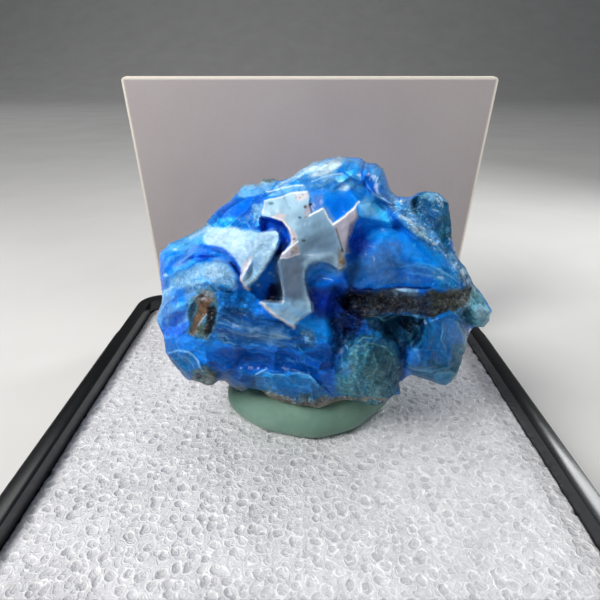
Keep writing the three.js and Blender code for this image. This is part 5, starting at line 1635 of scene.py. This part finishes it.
def floor_sweep():
    """A pale sheet that lies flat under the part and curves up far behind it."""
    half, near, far, bend, top, thick = 1.6, -0.8, 0.55, 0.45, 1.1, 0.01
    steps = 24
    turns = [math.radians(90 * k / steps) for k in range(steps + 1)]

    def profile(radius):
        """Places in depth and height: flat, round the bend, and straight up."""
        curve = [(far + radius * math.sin(t), bend - radius * math.cos(t)) for t in turns]
        return [(near, bend - radius), *curve, (far + radius, top)]

    face, away = profile(bend), profile(bend + thick)
    count = len(face)
    vertices = [(x, y, z) for row in (face, away) for x in (-half, half) for y, z in row]
    faces = []
    for k in range(count - 1):
        faces.append((k, count + k, count + k + 1, k + 1))
        faces.append((2 * count + k, 2 * count + k + 1, 3 * count + k + 1, 3 * count + k))
        faces.append((k, k + 1, 2 * count + k + 1, 2 * count + k))
        faces.append((count + k, 3 * count + k, 3 * count + k + 1, count + k + 1))
    faces.append((0, 2 * count, 3 * count, count))
    faces.append((count - 1, 2 * count - 1, 4 * count - 1, 3 * count - 1))
    slab = mesh_piece("floor", vertices, faces)
    material, tree, shader = new_material("floor_paint", Roughness=0.8, Specular_IOR_Level=0.2)
    grain = noise(tree, object_space(tree), 40, detail=6)
    tree.links.new(ramp(tree, grain, [(0.3, hex_colour("#d9d8d6")), (0.7, hex_colour("#e2e1df"))]),
                   shader.inputs["Base Color"])
    slab.data.materials.append(material)
    return slab


floor_sweep()


def soft_light(name, place, target, size, power, colour):
    data = bpy.data.lights.new(name, "AREA")
    data.shape = "DISK"
    data.size = size
    data.energy = power
    data.color = colour
    lamp = bpy.data.objects.new(name, data)
    lamp.location = place
    lamp.rotation_euler = (Vector(target) - Vector(place)).to_track_quat("-Z", "Y").to_euler()
    bpy.context.collection.objects.link(lamp)
    return lamp


STONE_PLACE = (0.001, 0.0, 0.013)
soft_light("key", (-0.066, -0.052, 0.096), STONE_PLACE, 0.05, 0.125, (1.0, 0.985, 0.96))
soft_light("fill", (0.10, -0.13, 0.05), STONE_PLACE, 0.08, 0.024, (0.93, 0.97, 1.0))
soft_light("side", (0.085, 0.05, 0.062), STONE_PLACE, 0.04, 0.044, (0.97, 0.99, 1.0))
soft_light("top", (-0.3, 0.12, 0.72), STONE_PLACE, 0.6, 2.0, (1.0, 1.0, 1.0))

world = bpy.data.worlds.new("studio")
world.use_nodes = True
world.node_tree.nodes["Background"].inputs["Color"].default_value = (0.82, 0.86, 0.92, 1)
world.node_tree.nodes["Background"].inputs["Strength"].default_value = 0.11
bpy.context.scene.world = world
bpy.context.scene.view_settings.view_transform = "Standard"

camera_data = bpy.data.cameras.new("camera")
camera_data.lens = 27.0
camera_data.sensor_width = 36.0
camera_data.clip_start = 0.001
camera_data.dof.use_dof = False
camera = bpy.data.objects.new("camera", camera_data)
camera.location = tuple(VIEWPOINT)
camera.rotation_euler = (math.pi / 2 - VIEW_PITCH, 0, 0)
bpy.context.collection.objects.link(camera)
bpy.context.scene.camera = camera
